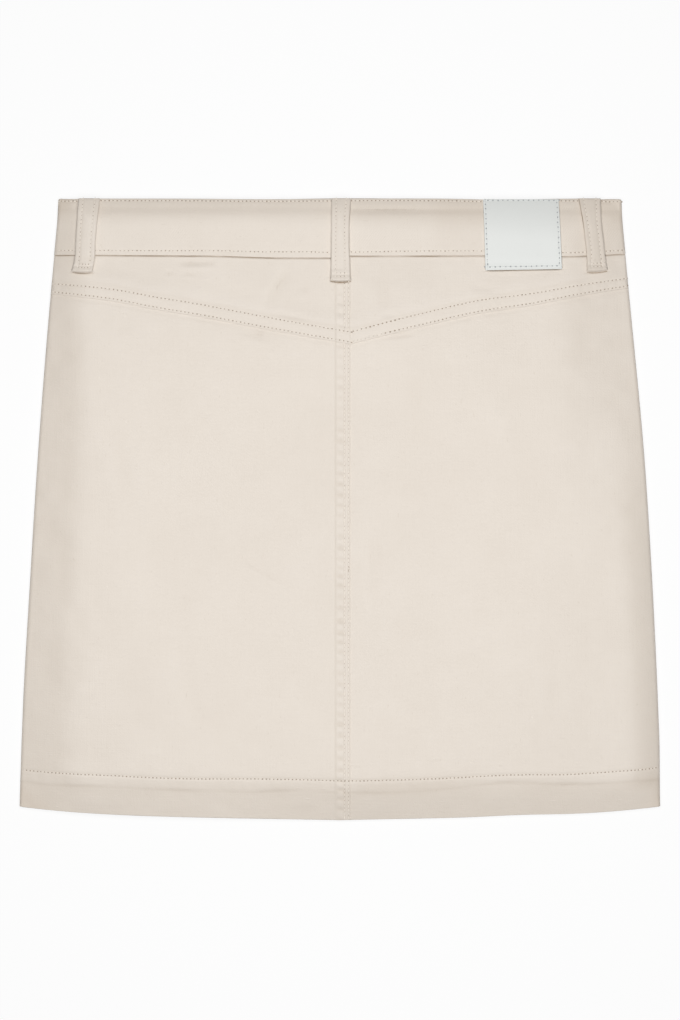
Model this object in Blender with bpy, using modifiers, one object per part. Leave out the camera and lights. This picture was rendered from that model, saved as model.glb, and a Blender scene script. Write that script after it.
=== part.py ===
"""A denim skirt laid flat with its back up.

The waist lies towards +Y, the hem towards -Y, and the underside rests on z = 0. Every cloth piece is an
open surface with its thickness from Solidify. The back pieces share one height, back_height(), and the
front pieces share another, front_height(), so that neighbours meet along their seams with a small gap.
"""

import math
from collections import namedtuple

import bpy
import numpy as np

# The cut, in metres.
LENGTH = 0.4480  # waist edge to hem, at the centre back
SIDE_LENGTH = 0.4380  # waist edge to hem, at the side seams
WAIST_HALF = 0.2027  # half width at the waist edge
HEM_HALF = 0.2308  # half width at the hem
HIP_BOW = 0.0040  # how far the side seams bow out between waist and hem
WAIST_TOP = LENGTH / 2
HEM_CENTRE = -LENGTH / 2
HEM_SLANT = 0.0046  # even rise of the hem from the centre to a side seam
HEM_FLICK = LENGTH - SIDE_LENGTH - HEM_SLANT  # what it rises more, close to the side seam
HEM_FLICK_POWER = 5
FRONT_HEM_TUCK = 0.0015  # how much shorter the front lies at its centre

# Cloth and seams.
PLY = 0.0011  # one layer of denim
SEAM_GAP = 0.0003
BAND_DEPTH = 0.0424  # waistband, top edge to lower edge
BAND_END_RISE = 0.0014  # its lower edge rises this much at the side seams
BAND_PROUD = 0.0009  # the waistband stands this much above the yoke
BAND_OUTSET = 0.0006  # and this much wider at the side seams
HEM_DEPTH = 0.0270  # the turned-up hem, a second layer inside
HEM_STEP = 0.0006
CENTRE_SEAM = 0.0079  # x of the centre back seam line
FELL_WIDTH = 0.0101  # the felled allowance, a ridge to the left of the seam line
FELL_SOFT = 0.0034
FELL_HEIGHT = 0.0008
YOKE_SEAM_WIDTH = 0.0090  # the felled strip along the yoke's pointed edge
YOKE_SEAM_SOFT = 0.0040
YOKE_SEAM_HEIGHT = 0.0008

# How it lies: the side seams are round folds, the edges slope up to a crown, and the middle sags
# back down on to the front.
SEAM_HEIGHT = 0.0025  # height of the side seam line
FOLD_RADIUS = 0.0025
FOLD_EASE = 0.0250  # below the waistband, the fold grows from its tighter radius over this length
LEFT_CROWN = 0.0085
RIGHT_CROWN = 0.0070
LYING_HEIGHT = 2 * PLY + SEAM_GAP + 0.00005
Slope = namedtuple("Slope", "run straight")  # length of a slope, and the share of it that is straight
LEFT_SLOPE = Slope(0.0450, 0.60)
RIGHT_SLOPE_ABOVE = Slope(0.0470, 0.60)
RIGHT_SLOPE_BELOW = Slope(0.0260, 0.05)
RIGHT_CHANGE_LOW, RIGHT_CHANGE_HIGH = 0.0050, 0.0700  # y between which the right slope changes
HEM_SLOPE = Slope(0.0215, 0.80)
WAIST_SLOPE = Slope(0.0300, 0.15)
WAIST_OPEN = 0.33  # share of the crown that is left at the waist edge
SAG_CENTRE = (0.0000, -0.0350)
SAG_FLAT = (0.0300, 0.0450)  # half size of the stretch that lies on the front
SAG_RUN = (0.1100, 0.0950)  # from there out to the crown

# The lower edge of the yoke, from the side seams to its point on the centre back seam.
EdgePoint = namedtuple("EdgePoint", "x y")
YOKE_EDGE_LEFT = [
    EdgePoint(-0.2080, 0.1537),
    EdgePoint(-0.1600, 0.1487),
    EdgePoint(-0.1080, 0.1392),
    EdgePoint(-0.0500, 0.1284),
    EdgePoint(CENTRE_SEAM, 0.1177),
]
YOKE_EDGE_RIGHT = [
    EdgePoint(CENTRE_SEAM, 0.1177),
    EdgePoint(0.0600, 0.1313),
    EdgePoint(0.1020, 0.1405),
    EdgePoint(0.1400, 0.1462),
    EdgePoint(0.1720, 0.1522),
    EdgePoint(0.2080, 0.1582),
]

# Belt loops: where each leaves the waist edge and where it ends, at the middle of the strip.
BeltLoop = namedtuple("BeltLoop", "side top_x foot_x length over_seam")
BELT_LOOPS = [
    BeltLoop("left", -0.1802, -0.1850, 0.0534, 0.0),
    BeltLoop("centre", 0.0008, 0.0008, 0.0603, FELL_HEIGHT),
    BeltLoop("right", 0.1801, 0.1856, 0.0530, 0.0),
]
LOOP_WIDTH = 0.0144
LOOP_FLARE = 0.0014  # how much wider a loop is at its two sewn ends
LOOP_THICK = 0.0016  # a folded strip, pressed
LOOP_SLACK = 0.0006
LOOP_DROP = 0.0070  # below the waistband, a loop comes down on to the yoke over this length

# Leather patch, over the waistband's lower edge.
PATCH_TOP = (0.1040, 0.1585)  # x of its sides at the top
PATCH_FOOT = (0.1052, 0.1600)  # and at the bottom
PATCH_START = 0.0008  # below the waist edge
PATCH_LENGTH = 0.0510
PATCH_THICK = 0.0014
PATCH_DROP = 0.0130

# Front closure, underneath.
BUTTON_RADIUS = 0.0085
BUTTON_HEIGHT = 0.0026
BUTTON_RIM = 0.0004
BUTTON_DISH = 0.0005
BUTTON_SIDES = 24
BUTTON_PLACE = (0.0, WAIST_TOP - BAND_DEPTH / 2)
BUTTON_LIFT = BUTTON_HEIGHT + SEAM_GAP  # the cloth above it is raised this much
BUTTON_FLAT = 0.0100
BUTTON_SPREAD = 0.0380
BAND_MEETING = 0.0180  # x where the two ends of the waistband meet, at the front
ZIP_HALF = 0.0120
ZIP_FOOT = 0.0700
ZIP_THICK = 0.0011

DENIM = (0.78, 0.71, 0.62)
LEATHER = (0.74, 0.76, 0.73)
METAL = (0.62, 0.60, 0.56)


def mix(first, second, share):
    return first + (second - first) * share


def ease(share):
    """A soft step from 0 to 1."""
    share = np.clip(share, 0, 1)
    return share * share * (3 - 2 * share)


def shoulder(distance, run, straight):
    """A slope from 0 at an edge to 1 at run: straight at first, then easing level."""
    share = np.clip(distance / run, 0, 1)
    bend = 1 - straight
    eased = straight + (bend**2 - (1 - share) ** 2) / (2 * bend)
    return np.where(share < straight, share, eased) / (straight + bend / 2)


def edge_curve(points, x):
    """A smooth curve through the points, read at x."""
    xs = np.array([point.x for point in points])
    ys = np.array([point.y for point in points])
    slopes = np.gradient(ys, xs)
    at = np.clip(np.searchsorted(xs, x) - 1, 0, len(xs) - 2)
    span = xs[at + 1] - xs[at]
    t = (x - xs[at]) / span
    start = ys[at] * (1 + 2 * t) * (1 - t) ** 2 + slopes[at] * span * t * (1 - t) ** 2
    end = ys[at + 1] * t**2 * (3 - 2 * t) + slopes[at + 1] * span * t**2 * (t - 1)
    return start + end


def half_width(y):
    """Half width of the laid skirt: a straight taper with a little hip."""
    share = np.clip((WAIST_TOP - y) / SIDE_LENGTH, 0, 1.02)
    return mix(WAIST_HALF, HEM_HALF, share) + HIP_BOW * 4 * share * (1 - share)


def hem_line(x):
    share = np.abs(x) / HEM_HALF
    return HEM_CENTRE + HEM_SLANT * share + HEM_FLICK * share**HEM_FLICK_POWER


def front_hem_line(x):
    return hem_line(x) + FRONT_HEM_TUCK * (1 - (x / HEM_HALF) ** 2)


def band_line(x):
    """The waistband's lower edge."""
    return WAIST_TOP - BAND_DEPTH + BAND_END_RISE * (np.abs(x) / WAIST_HALF) ** 4


def yoke_line_left(x):
    return edge_curve(YOKE_EDGE_LEFT, x)


def yoke_line_right(x):
    return edge_curve(YOKE_EDGE_RIGHT, x)


def panel_radius(y):
    """Radius of the side fold, tighter at the waistband, which goes round it."""
    foot = WAIST_TOP - BAND_DEPTH
    return FOLD_RADIUS - BAND_PROUD * ease((y - foot + FOLD_EASE) / FOLD_EASE)


def band_radius(y):
    return FOLD_RADIUS + 0 * y


def fold_rise(x, y, radius, outset=0.0):
    """Height of the round side fold above the side seam: 0 at the seam, radius on top."""
    inward = np.clip(half_width(y) + outset - np.abs(x), 0, radius)
    return np.sqrt(np.maximum(radius**2 - (radius - inward) ** 2, 0))


def back_height(x, y, radius, outset=0.0):
    """Height of the back's outer face."""
    width = half_width(y)
    above = ease((y - RIGHT_CHANGE_LOW) / (RIGHT_CHANGE_HIGH - RIGHT_CHANGE_LOW))
    right_run = mix(RIGHT_SLOPE_BELOW.run, RIGHT_SLOPE_ABOVE.run, above)
    right_straight = mix(RIGHT_SLOPE_BELOW.straight, RIGHT_SLOPE_ABOVE.straight, above)
    left_side = shoulder(np.maximum(width + x, 0), *LEFT_SLOPE)
    right_side = shoulder(np.maximum(width - x, 0), right_run, right_straight)
    hem = shoulder(y - hem_line(x), *HEM_SLOPE)
    waist = mix(WAIST_OPEN, 1, shoulder(WAIST_TOP - y, *WAIST_SLOPE))
    crown = mix(LEFT_CROWN, RIGHT_CROWN, ease(x / (2 * WAIST_HALF) + 0.5))
    raised = SEAM_HEIGHT + fold_rise(x, y, radius, outset)
    raised = raised + crown * left_side * right_side * hem * waist
    sag_x = 1 - ease((np.abs(x - SAG_CENTRE[0]) - SAG_FLAT[0]) / SAG_RUN[0])
    sag_y = 1 - ease((np.abs(y - SAG_CENTRE[1]) - SAG_FLAT[1]) / SAG_RUN[1])
    return mix(raised, LYING_HEIGHT, sag_x * sag_y)


def front_height(x, y, radius, outset=0.0):
    """Height of the front's outer face, which lies on the floor but for the button under it."""
    from_button = np.hypot(x - BUTTON_PLACE[0], y - BUTTON_PLACE[1])
    lift = BUTTON_LIFT * (1 - ease((from_button - BUTTON_FLAT) / BUTTON_SPREAD))
    return SEAM_HEIGHT - fold_rise(x, y, radius, outset) + lift


def on_top(x, y):
    """1 on the back and 0 at the side seam, so that a seam's bulk runs out there."""
    radius = panel_radius(y)
    return fold_rise(x, y, radius) / radius


def panel_face_right(x, y):
    return back_height(x, y, panel_radius(y))


def panel_face_left(x, y):
    """The left pieces also carry the felled centre back seam."""
    felled = ease((x - CENTRE_SEAM + FELL_WIDTH + FELL_SOFT) / FELL_SOFT)
    return panel_face_right(x, y) + FELL_HEIGHT * felled


def yoke_bulk(x, y, line):
    felled = 1 - ease((y - line - YOKE_SEAM_WIDTH) / YOKE_SEAM_SOFT)
    return YOKE_SEAM_HEIGHT * felled * on_top(x, y)


def yoke_face_left(x, y):
    return panel_face_left(x, y) + yoke_bulk(x, y, yoke_line_left(x))


def yoke_face_right(x, y):
    return panel_face_right(x, y) + yoke_bulk(x, y, yoke_line_right(x))


def front_face(x, y):
    return front_height(x, y, panel_radius(y))


def over_band(x, y, drop):
    """Height that a loop or patch lies on: the waistband, then down to the yoke over drop."""
    on_band = ease((y - band_line(x) + drop) / drop)
    return mix(panel_face_right(x, y), back_height(x, y, FOLD_RADIUS, BAND_OUTSET), on_band)


# A column of a cloth grid: side is -1 or 1 for one measured from a side fold, by the angle turned
# round the fold and then the distance inwards, or 0 for one at a fixed x.
Column = namedtuple("Column", "side turn inset")
# A row: start is "low" or "high" for a distance from that edge, or "share" for a share between them.
Row = namedtuple("Row", "start amount")

FOLD_TURNS = [12.0, 30.0, 50.0, 70.0, 90.0]
SLOPE_INSETS = [0.006, 0.014, 0.024, 0.034, 0.044]
FELL_COLUMNS = [FELL_WIDTH + FELL_SOFT, FELL_WIDTH, SEAM_GAP / 2]


def side_columns(side, insets):
    """From the seam inwards. The first column is doubled, for to_seam() to drop its outer one."""
    turns = [Column(side, turn, 0.0) for turn in FOLD_TURNS[:1] + FOLD_TURNS]
    return turns + [Column(side, 90.0, inset) for inset in insets]


def fixed_columns(places):
    return [Column(0, 0.0, place) for place in places]


def settle(columns, rows, low, high, radius_at, outset=0.0):
    """The x and y of a grid whose columns follow the side seams and whose rows follow two edges."""
    sides = np.array([column.side for column in columns])
    turned = 1 - np.cos(np.radians([column.turn for column in columns]))
    insets = np.array([column.inset for column in columns])
    x = np.tile(np.where(sides == 0, insets, sides * WAIST_HALF), (len(rows), 1))
    y = np.zeros_like(x)
    for _ in range(6):
        for at, row in enumerate(rows):
            lower, upper = low(x[at]), high(x[at])
            if row.start == "low":
                y[at] = lower + row.amount
            elif row.start == "high":
                y[at] = upper - row.amount
            else:
                y[at] = mix(lower, upper, row.amount)
        from_side = sides * (half_width(y) + outset - radius_at(y) * turned - insets)
        x = np.where(sides == 0, insets, from_side)
    return x, y


def to_seam(z, side, above):
    """The same heights, with the outermost column dropped upright to the side seam line. above is 1
    for a piece that comes down to the line and -1 for one that comes up to it."""
    z[:, 0 if side == "left" else -1] = SEAM_HEIGHT + above * SEAM_GAP / 2
    return z


def material(name, colour, roughness, metallic=0.0):
    made = bpy.data.materials.new(name)
    made.use_nodes = True
    shader = made.node_tree.nodes["Principled BSDF"]
    shader.inputs["Base Color"].default_value = (*colour, 1.0)
    shader.inputs["Roughness"].default_value = roughness
    shader.inputs["Metallic"].default_value = metallic
    return made


def put(name, mesh, colour, roughness, metallic=0.0):
    thing = bpy.data.objects.new(name, mesh)
    skirt.objects.link(thing)
    mesh.materials.append(material(name, colour, roughness, metallic))
    return thing


def cloth(name, x, y, z, thickness, faces_down=False, colour=DENIM, doubled_rows=0):
    """An open grid, rows by columns, thickened away from its outer face. The first doubled_rows are
    two layers thick."""
    rows, columns = x.shape
    points = np.stack([x, y, z], axis=-1).reshape(-1, 3)
    quads = []
    for row in range(rows - 1):
        for column in range(columns - 1):
            near, far = row * columns + column, (row + 1) * columns + column
            quad = (near, near + 1, far + 1, far)
            quads.append(quad[::-1] if faces_down else quad)
    mesh = bpy.data.meshes.new(name)
    mesh.from_pydata(points.tolist(), [], quads)
    mesh.shade_smooth()
    thing = put(name, mesh, colour, 0.85)
    wall = thing.modifiers.new("cloth", "SOLIDIFY")
    wall.offset = -1
    wall.use_even_offset = True
    wall.use_quality_normals = True
    wall.thickness = thickness
    if doubled_rows:
        doubled = thing.vertex_groups.new(name="doubled")
        doubled.add(list(range(doubled_rows * columns)), 1.0, "REPLACE")
        wall.vertex_group = doubled.name
        wall.thickness = 2 * thickness
        wall.thickness_vertex_group = 0.5
    return thing


def back_pieces():
    """Two yoke halves and two panels, the left ones with the felled seam's ridge."""
    left = side_columns(-1, SLOPE_INSETS) + fixed_columns(
        [-0.135, -0.105, -0.075, -0.045, -0.022]
        + [CENTRE_SEAM - distance for distance in FELL_COLUMNS]
    )
    right = fixed_columns([CENTRE_SEAM + SEAM_GAP / 2, 0.030, 0.055, 0.080, 0.110, 0.140]) + (
        side_columns(1, SLOPE_INSETS)[::-1]
    )
    hem_rows = [0.0, 0.008, 0.016, 0.0215, HEM_DEPTH, HEM_DEPTH + HEM_STEP]
    panel_rows = [Row("low", amount) for amount in hem_rows]
    panel_rows += [Row("share", share) for share in np.linspace(0.14, 0.93, 10)]
    panel_rows += [Row("high", SEAM_GAP)]
    yoke_steps = [0.0, YOKE_SEAM_WIDTH / 2, YOKE_SEAM_WIDTH, YOKE_SEAM_WIDTH + YOKE_SEAM_SOFT]
    yoke_rows = [Row("low", amount) for amount in yoke_steps]
    yoke_rows += [Row("share", 0.70), Row("high", SEAM_GAP)]
    for side, columns, line, panel_face, yoke_face in (
        ("left", left, yoke_line_left, panel_face_left, yoke_face_left),
        ("right", right, yoke_line_right, panel_face_right, yoke_face_right),
    ):
        x, y = settle(columns, panel_rows, hem_line, line, panel_radius)
        doubled = len(hem_rows) - 1
        z = to_seam(panel_face(x, y), side, 1)
        cloth(f"back_panel_{side}", x, y, z, PLY, doubled_rows=doubled)
        x, y = settle(columns, yoke_rows, line, band_line, panel_radius)
        cloth(f"back_yoke_{side}", x, y, to_seam(yoke_face(x, y), side, 1), PLY)


def front_pieces():
    """Two plain panels on the floor, with the zip's tape inside between them."""
    places = [-0.120, -0.050, -0.028, -0.012, -SEAM_GAP / 2]
    left = side_columns(-1, [0.015]) + fixed_columns(places)
    right = fixed_columns([-place for place in places[::-1]]) + side_columns(1, [0.015])[::-1]
    rows = [Row("low", amount) for amount in (0.0, HEM_DEPTH, HEM_DEPTH + HEM_STEP)]
    rows += [Row("share", share) for share in (0.25, 0.45, 0.65, 0.80)]
    rows += [Row("high", amount) for amount in (0.050, 0.036, 0.024, 0.012, SEAM_GAP)]
    for side, columns in (("left", left), ("right", right)):
        x, y = settle(columns, rows, front_hem_line, band_line, panel_radius)
        z = to_seam(front_face(x, y), side, -1)
        cloth(f"front_panel_{side}", x, y, z, PLY, faces_down=True, doubled_rows=2)

    across = np.linspace(-ZIP_HALF, ZIP_HALF, 4)
    along = np.append(np.linspace(ZIP_FOOT, 0.150, 3), np.linspace(0.160, band_line(0) - SEAM_GAP, 3))
    x, y = np.meshgrid(across, along)
    top = front_face(x, y) + PLY + SEAM_GAP + ZIP_THICK
    cloth("fly_zip", x, y, top, ZIP_THICK)


def waistband():
    """One strip of two layers, from its front end round the left fold, across the back and round
    the right fold to its other end."""
    start, stop = BAND_MEETING - SEAM_GAP / 2, BAND_MEETING + SEAM_GAP / 2
    fold = [0.0] + FOLD_TURNS
    front_left = fixed_columns([start, 0.009, 0.0, -0.010, -0.020, -0.032, -0.048, -0.110])
    front_right = fixed_columns([0.110, 0.048, 0.032, stop])
    back = fixed_columns([-0.130, -0.100, -0.065, -0.030, 0.0, 0.030, 0.065, 0.100, 0.130])
    left_slope = [Column(-1, 90.0, inset) for inset in SLOPE_INSETS]
    right_slope = [Column(1, 90.0, inset) for inset in SLOPE_INSETS[::-1]]
    left_under = [Column(-1, turn, 0.0) for turn in fold[:0:-1]]
    left_over = [Column(-1, turn, 0.0) for turn in fold]
    right_over = [Column(1, turn, 0.0) for turn in fold[::-1]]
    right_under = [Column(1, turn, 0.0) for turn in fold[1:]]
    over = left_over + left_slope + back + right_slope + right_over
    columns = front_left + left_under + over + right_under + front_right
    is_over = np.zeros(len(columns), bool)
    first = len(front_left) + len(left_under)
    is_over[first : first + len(over)] = True
    rows = [Row("share", share) for share in (1.0, 0.93, 0.82, 0.70, 0.58, 0.46, 0.30, 0.15, 0.0)]
    x, y = settle(columns, rows, band_line, lambda x: WAIST_TOP + 0 * x, band_radius, BAND_OUTSET)
    back = back_height(x, y, FOLD_RADIUS, BAND_OUTSET)
    front = front_height(x, y, FOLD_RADIUS, BAND_OUTSET)
    cloth("waistband", x, y, np.where(is_over, back, front), 2 * PLY, faces_down=True)


def belt_loops():
    """Folded strips from the waist edge down over the waistband, their feet tacked to the yoke."""
    for loop in BELT_LOOPS:
        shares = np.linspace(1, 0, 13)
        across = np.array([-1.0, -0.8, 0.0, 0.8, 1.0]) / 2
        width = LOOP_WIDTH + LOOP_FLARE * (2 * shares - 1) ** 2
        x = mix(loop.top_x, loop.foot_x, shares)[:, None] + width[:, None] * across
        y = WAIST_TOP - loop.length * shares[:, None] + 0 * x
        slack = LOOP_SLACK * np.sin(math.pi * shares)[:, None]
        below = ease((band_line(x) - y) / LOOP_DROP)
        under = over_band(x, y, LOOP_DROP) + loop.over_seam * below + SEAM_GAP + slack
        cloth(f"belt_loop_{loop.side}", x, y, under + LOOP_THICK, LOOP_THICK)


def leather_patch():
    shares = np.linspace(1, 0, 9)
    left = mix(PATCH_TOP[0], PATCH_FOOT[0], shares)[:, None]
    right = mix(PATCH_TOP[1], PATCH_FOOT[1], shares)[:, None]
    x = mix(left, right, np.linspace(0, 1, 7))
    y = WAIST_TOP - PATCH_START - PATCH_LENGTH * shares[:, None] + 0 * x
    under = over_band(x, y, PATCH_DROP) + SEAM_GAP
    cloth("leather_patch", x, y, under + PATCH_THICK, PATCH_THICK, colour=LEATHER)


def waist_button():
    """A turned cap with a dished face, face down under the waistband."""
    rim = BUTTON_RADIUS
    profile = [
        (0.0, BUTTON_HEIGHT),
        (rim - BUTTON_RIM, BUTTON_HEIGHT),
        (rim, BUTTON_HEIGHT - BUTTON_RIM),
        (rim, BUTTON_RIM),
        (rim - BUTTON_RIM, 0.0),
        (rim - 4 * BUTTON_RIM, 0.0),
        (rim - 5 * BUTTON_RIM, BUTTON_DISH),
        (0.0, BUTTON_DISH),
    ]
    mesh = bpy.data.meshes.new("waist_button")
    edges = [(at, at + 1) for at in range(len(profile) - 1)]
    mesh.from_pydata([(radius, 0.0, height) for radius, height in profile], edges, [])
    button = put("waist_button", mesh, METAL, 0.4, metallic=1.0)
    button.location = (*BUTTON_PLACE, 0.0)
    turned = button.modifiers.new("turned", "SCREW")
    turned.steps = turned.render_steps = BUTTON_SIDES
    turned.use_merge_vertices = True
    turned.merge_threshold = 0.00001
    turned.use_smooth_shade = False


for leftover in list(bpy.data.objects):
    bpy.data.objects.remove(leftover)
skirt = bpy.data.collections.new("denim_skirt")
bpy.context.scene.collection.children.link(skirt)
back_pieces()
front_pieces()
waistband()
belt_loops()
leather_patch()
waist_button()
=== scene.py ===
"""The looks of a denim skirt laid flat with its back up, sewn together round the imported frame."""

import math
from collections import namedtuple

import bpy
import numpy as np
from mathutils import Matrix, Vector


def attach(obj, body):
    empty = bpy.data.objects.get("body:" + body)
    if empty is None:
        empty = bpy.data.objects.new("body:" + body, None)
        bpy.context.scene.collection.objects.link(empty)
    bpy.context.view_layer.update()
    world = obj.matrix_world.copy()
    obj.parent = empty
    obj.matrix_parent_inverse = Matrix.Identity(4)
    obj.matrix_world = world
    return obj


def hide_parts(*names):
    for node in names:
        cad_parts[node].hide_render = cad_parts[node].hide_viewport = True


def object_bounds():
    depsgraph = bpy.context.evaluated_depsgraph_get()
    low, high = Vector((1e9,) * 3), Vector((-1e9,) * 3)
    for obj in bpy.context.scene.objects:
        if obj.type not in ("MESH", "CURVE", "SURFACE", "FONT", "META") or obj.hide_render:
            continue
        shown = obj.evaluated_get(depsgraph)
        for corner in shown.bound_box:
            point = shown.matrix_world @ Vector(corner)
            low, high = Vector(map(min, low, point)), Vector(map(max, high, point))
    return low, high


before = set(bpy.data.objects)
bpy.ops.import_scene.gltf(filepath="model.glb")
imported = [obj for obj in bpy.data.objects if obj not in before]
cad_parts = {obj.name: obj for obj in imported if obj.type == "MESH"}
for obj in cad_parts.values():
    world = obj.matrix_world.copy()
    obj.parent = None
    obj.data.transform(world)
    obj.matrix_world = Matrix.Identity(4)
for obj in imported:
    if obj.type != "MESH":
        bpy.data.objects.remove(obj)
cad_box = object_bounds()

# ---- Front panels ----
# Two plain halves cut from undyed cotton denim, lying on the floor with their outer faces down. Their
# sides turn up round the side folds to meet the back, and a felled seam and the fly's curved
# topstitching run down the middle. The hem is turned up and stitched in one row.

LENGTH = 0.448  # waist edge to hem, at the centre back
SIDE_LENGTH = 0.438  # waist edge to hem, at the side seams
WAIST_HALF = 0.2027
HEM_HALF = 0.2308
HIP_BOW = 0.004  # how far the side seams bow out
LEFT_PULLED_IN = 0.0009  # as it lies, its left side is pulled in above and its right side let out below
RIGHT_LET_OUT = 0.0019
RIGHT_PULLED_IN = 0.0004
WAIST_FLARE = 0.0008
WAIST_TOP = LENGTH / 2
HEM_CENTRE = -LENGTH / 2
HEM_SLANT = 0.0046
HEM_FLICK = LENGTH - SIDE_LENGTH - HEM_SLANT
HEM_FLICK_POWER = 5
HEM_DROP = 0.0005
HEM_RISE = 0.0009  # right of the middle
FRONT_HEM_TUCK = 0.0015
PLY = 0.0011  # one layer of denim
SEAM_GAP = 0.0003
BAND_DEPTH = 0.0424
BAND_RAISED = 0.0005  # its lower edge lies this much higher
BAND_END_RISE = 0.0009
BAND_RIGHT_RISE = 0.0008
BAND_SAG = 0.0014  # left of the centre loop
BAND_RIGHT_SAG = 0.0009  # between the patch and the right loop
BAND_PROUD = 0.0009  # the waistband stands this much above the yoke
BAND_OUTSET = 0.0001
HEM_DEPTH = 0.027
SEAM_HEIGHT = 0.0025  # height of the side seam line above the floor
FOLD_RADIUS = 0.0025
FOLD_EASE = 0.025
BUTTON_PLACE = (0.0, WAIST_TOP - BAND_DEPTH / 2)
BUTTON_LIFT = 0.0029  # the button under the front raises the cloth above it this much
BUTTON_FLAT, BUTTON_REACH = 0.01, 0.048  # as far as this from its middle, then less and less
STITCH_PITCH = 0.0029
EDGE_ROLL = 0.0006  # how far a cut or folded edge rounds over
SLOPE_SHADE = 0.25  # how much painted shade darkens a steep slope
WORN_RIDGE = 0.0005  # a ridge this high is fully lightened by wear, and a dip this deep fully darkened as painted shade


def mix(first, second, share):
    return first + (second - first) * share


def ease(share):
    """A soft step from 0 to 1."""
    share = np.clip(share, 0, 1)
    return share * share * (3 - 2 * share)


def between(value, start, stop):
    """A soft step from 0 where the value is start to 1 where it is stop."""
    return ease((value - start) / (stop - start))


def bell(distance, width):
    return np.exp(-((distance / width) ** 2))


def half_width(y, side):
    """From the middle to one side of the laid skirt: a straight taper with a little hip."""
    share = np.clip((WAIST_TOP - y) / SIDE_LENGTH, 0, 1.02)
    left = -LEFT_PULLED_IN * between(share, 0.85, 0.6)
    right = RIGHT_LET_OUT * between(share, 0.12, 0.48) * (1 - 0.5 * between(share, 0.88, 1.0))
    lie = np.where(side < 0, left, right - RIGHT_PULLED_IN)
    lie = lie + WAIST_FLARE * bell(y - WAIST_TOP, 0.011)
    return mix(WAIST_HALF, HEM_HALF, share) + HIP_BOW * 4 * share * (1 - share) + lie


def hem_line(x):
    share = np.abs(x) / HEM_HALF
    wave = HEM_RISE * bell(x - 0.131, 0.03) - HEM_DROP
    return HEM_CENTRE + HEM_SLANT * share + HEM_FLICK * share**HEM_FLICK_POWER + wave


def front_hem_line(x):
    return hem_line(x) + FRONT_HEM_TUCK * (1 - (x / HEM_HALF) ** 2)


def band_line(x):
    """The waistband's lower edge, which sags in two places and rises at its ends."""
    rise = BAND_END_RISE * (np.abs(x) / WAIST_HALF) ** 3 + BAND_RIGHT_RISE * between(x, 0.186, 0.206)
    sag = BAND_SAG * between(x, -0.1, -0.04) * between(x, 0.006, -0.006)
    sag = sag + BAND_RIGHT_SAG * bell(x - 0.164, 0.016)
    return WAIST_TOP - BAND_DEPTH + BAND_RAISED + rise - sag


def under_band_line(x):
    return band_line(x) - SEAM_GAP


def panel_radius(y):
    """Radius of the side fold, tighter at the waistband, which goes round it."""
    foot = WAIST_TOP - BAND_DEPTH
    return FOLD_RADIUS - BAND_PROUD * between(y, foot - FOLD_EASE, foot)


def fold_rise(x, y, radius, outset=0.0):
    """Height of the round side fold above the side seam: 0 at the seam, radius on top."""
    inward = np.clip(half_width(y, x) + outset - np.abs(x), 0, radius)
    return np.sqrt(np.maximum(radius**2 - (radius - inward) ** 2, 0))


def front_height(x, y, radius, outset=0.0):
    """Height of the front's outer face, which lies on the floor but for the button under it."""
    from_button = np.hypot(x - BUTTON_PLACE[0], y - BUTTON_PLACE[1])
    lift = BUTTON_LIFT * between(from_button, BUTTON_REACH, BUTTON_FLAT)
    return SEAM_HEIGHT - fold_rise(x, y, radius, outset) + lift


def on_top(x, y):
    """1 on the flat of the skirt and 0 at a side seam."""
    radius = panel_radius(y)
    return fold_rise(x, y, radius) / radius


def steps(*stretches):
    """Shares from 0 to 1 along a line made of stretches, each a length and its step."""
    places = [0.0]
    for length, step in stretches:
        count = max(1, round(length / step))
        places.extend(places[-1] + length * np.arange(1, count + 1) / count)
    return np.array(places) / places[-1]


rolled_edge = (0.0008, 0.0002)  # points stand closer together where an edge is rounded
FOLD_TURNS = np.linspace(math.asin(SEAM_GAP / 2 / FOLD_RADIUS), math.pi / 2, 11)


def half_columns(side, middle, shares):
    """Columns of one half: from the side seam round the fold, then inwards to the middle. Each has
    its side, its turn round the fold, its share of the way to the middle, and the middle's x."""
    turn = np.append(FOLD_TURNS, np.full(len(shares) - 1, math.pi / 2))
    share = np.append(np.zeros(len(FOLD_TURNS)), shares[1:])
    columns = np.stack([np.full(len(turn), side), turn, share, np.full(len(turn), middle)])
    return columns if side < 0 else columns[:, ::-1]


def lay(columns, rows, low, high, radius_at, outset=0.0):
    """The x and y of every point of a piece between its low and high edges."""
    side, turn, share, middle = columns
    x = np.tile(mix(side * WAIST_HALF, middle, share), (len(rows), 1))
    for _ in range(6):
        y = mix(low(x), high(x), rows[:, None])
        at_fold = side * (half_width(y, side) + outset - radius_at(y) * (1 - np.cos(turn)))
        x = mix(at_fold, middle, share)
    return x, y


def rolled(distance, radius):
    """How far a rounded edge has dropped at this distance from it."""
    inside = radius - np.minimum(distance, radius)
    return radius - np.sqrt(radius**2 - inside**2)


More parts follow.
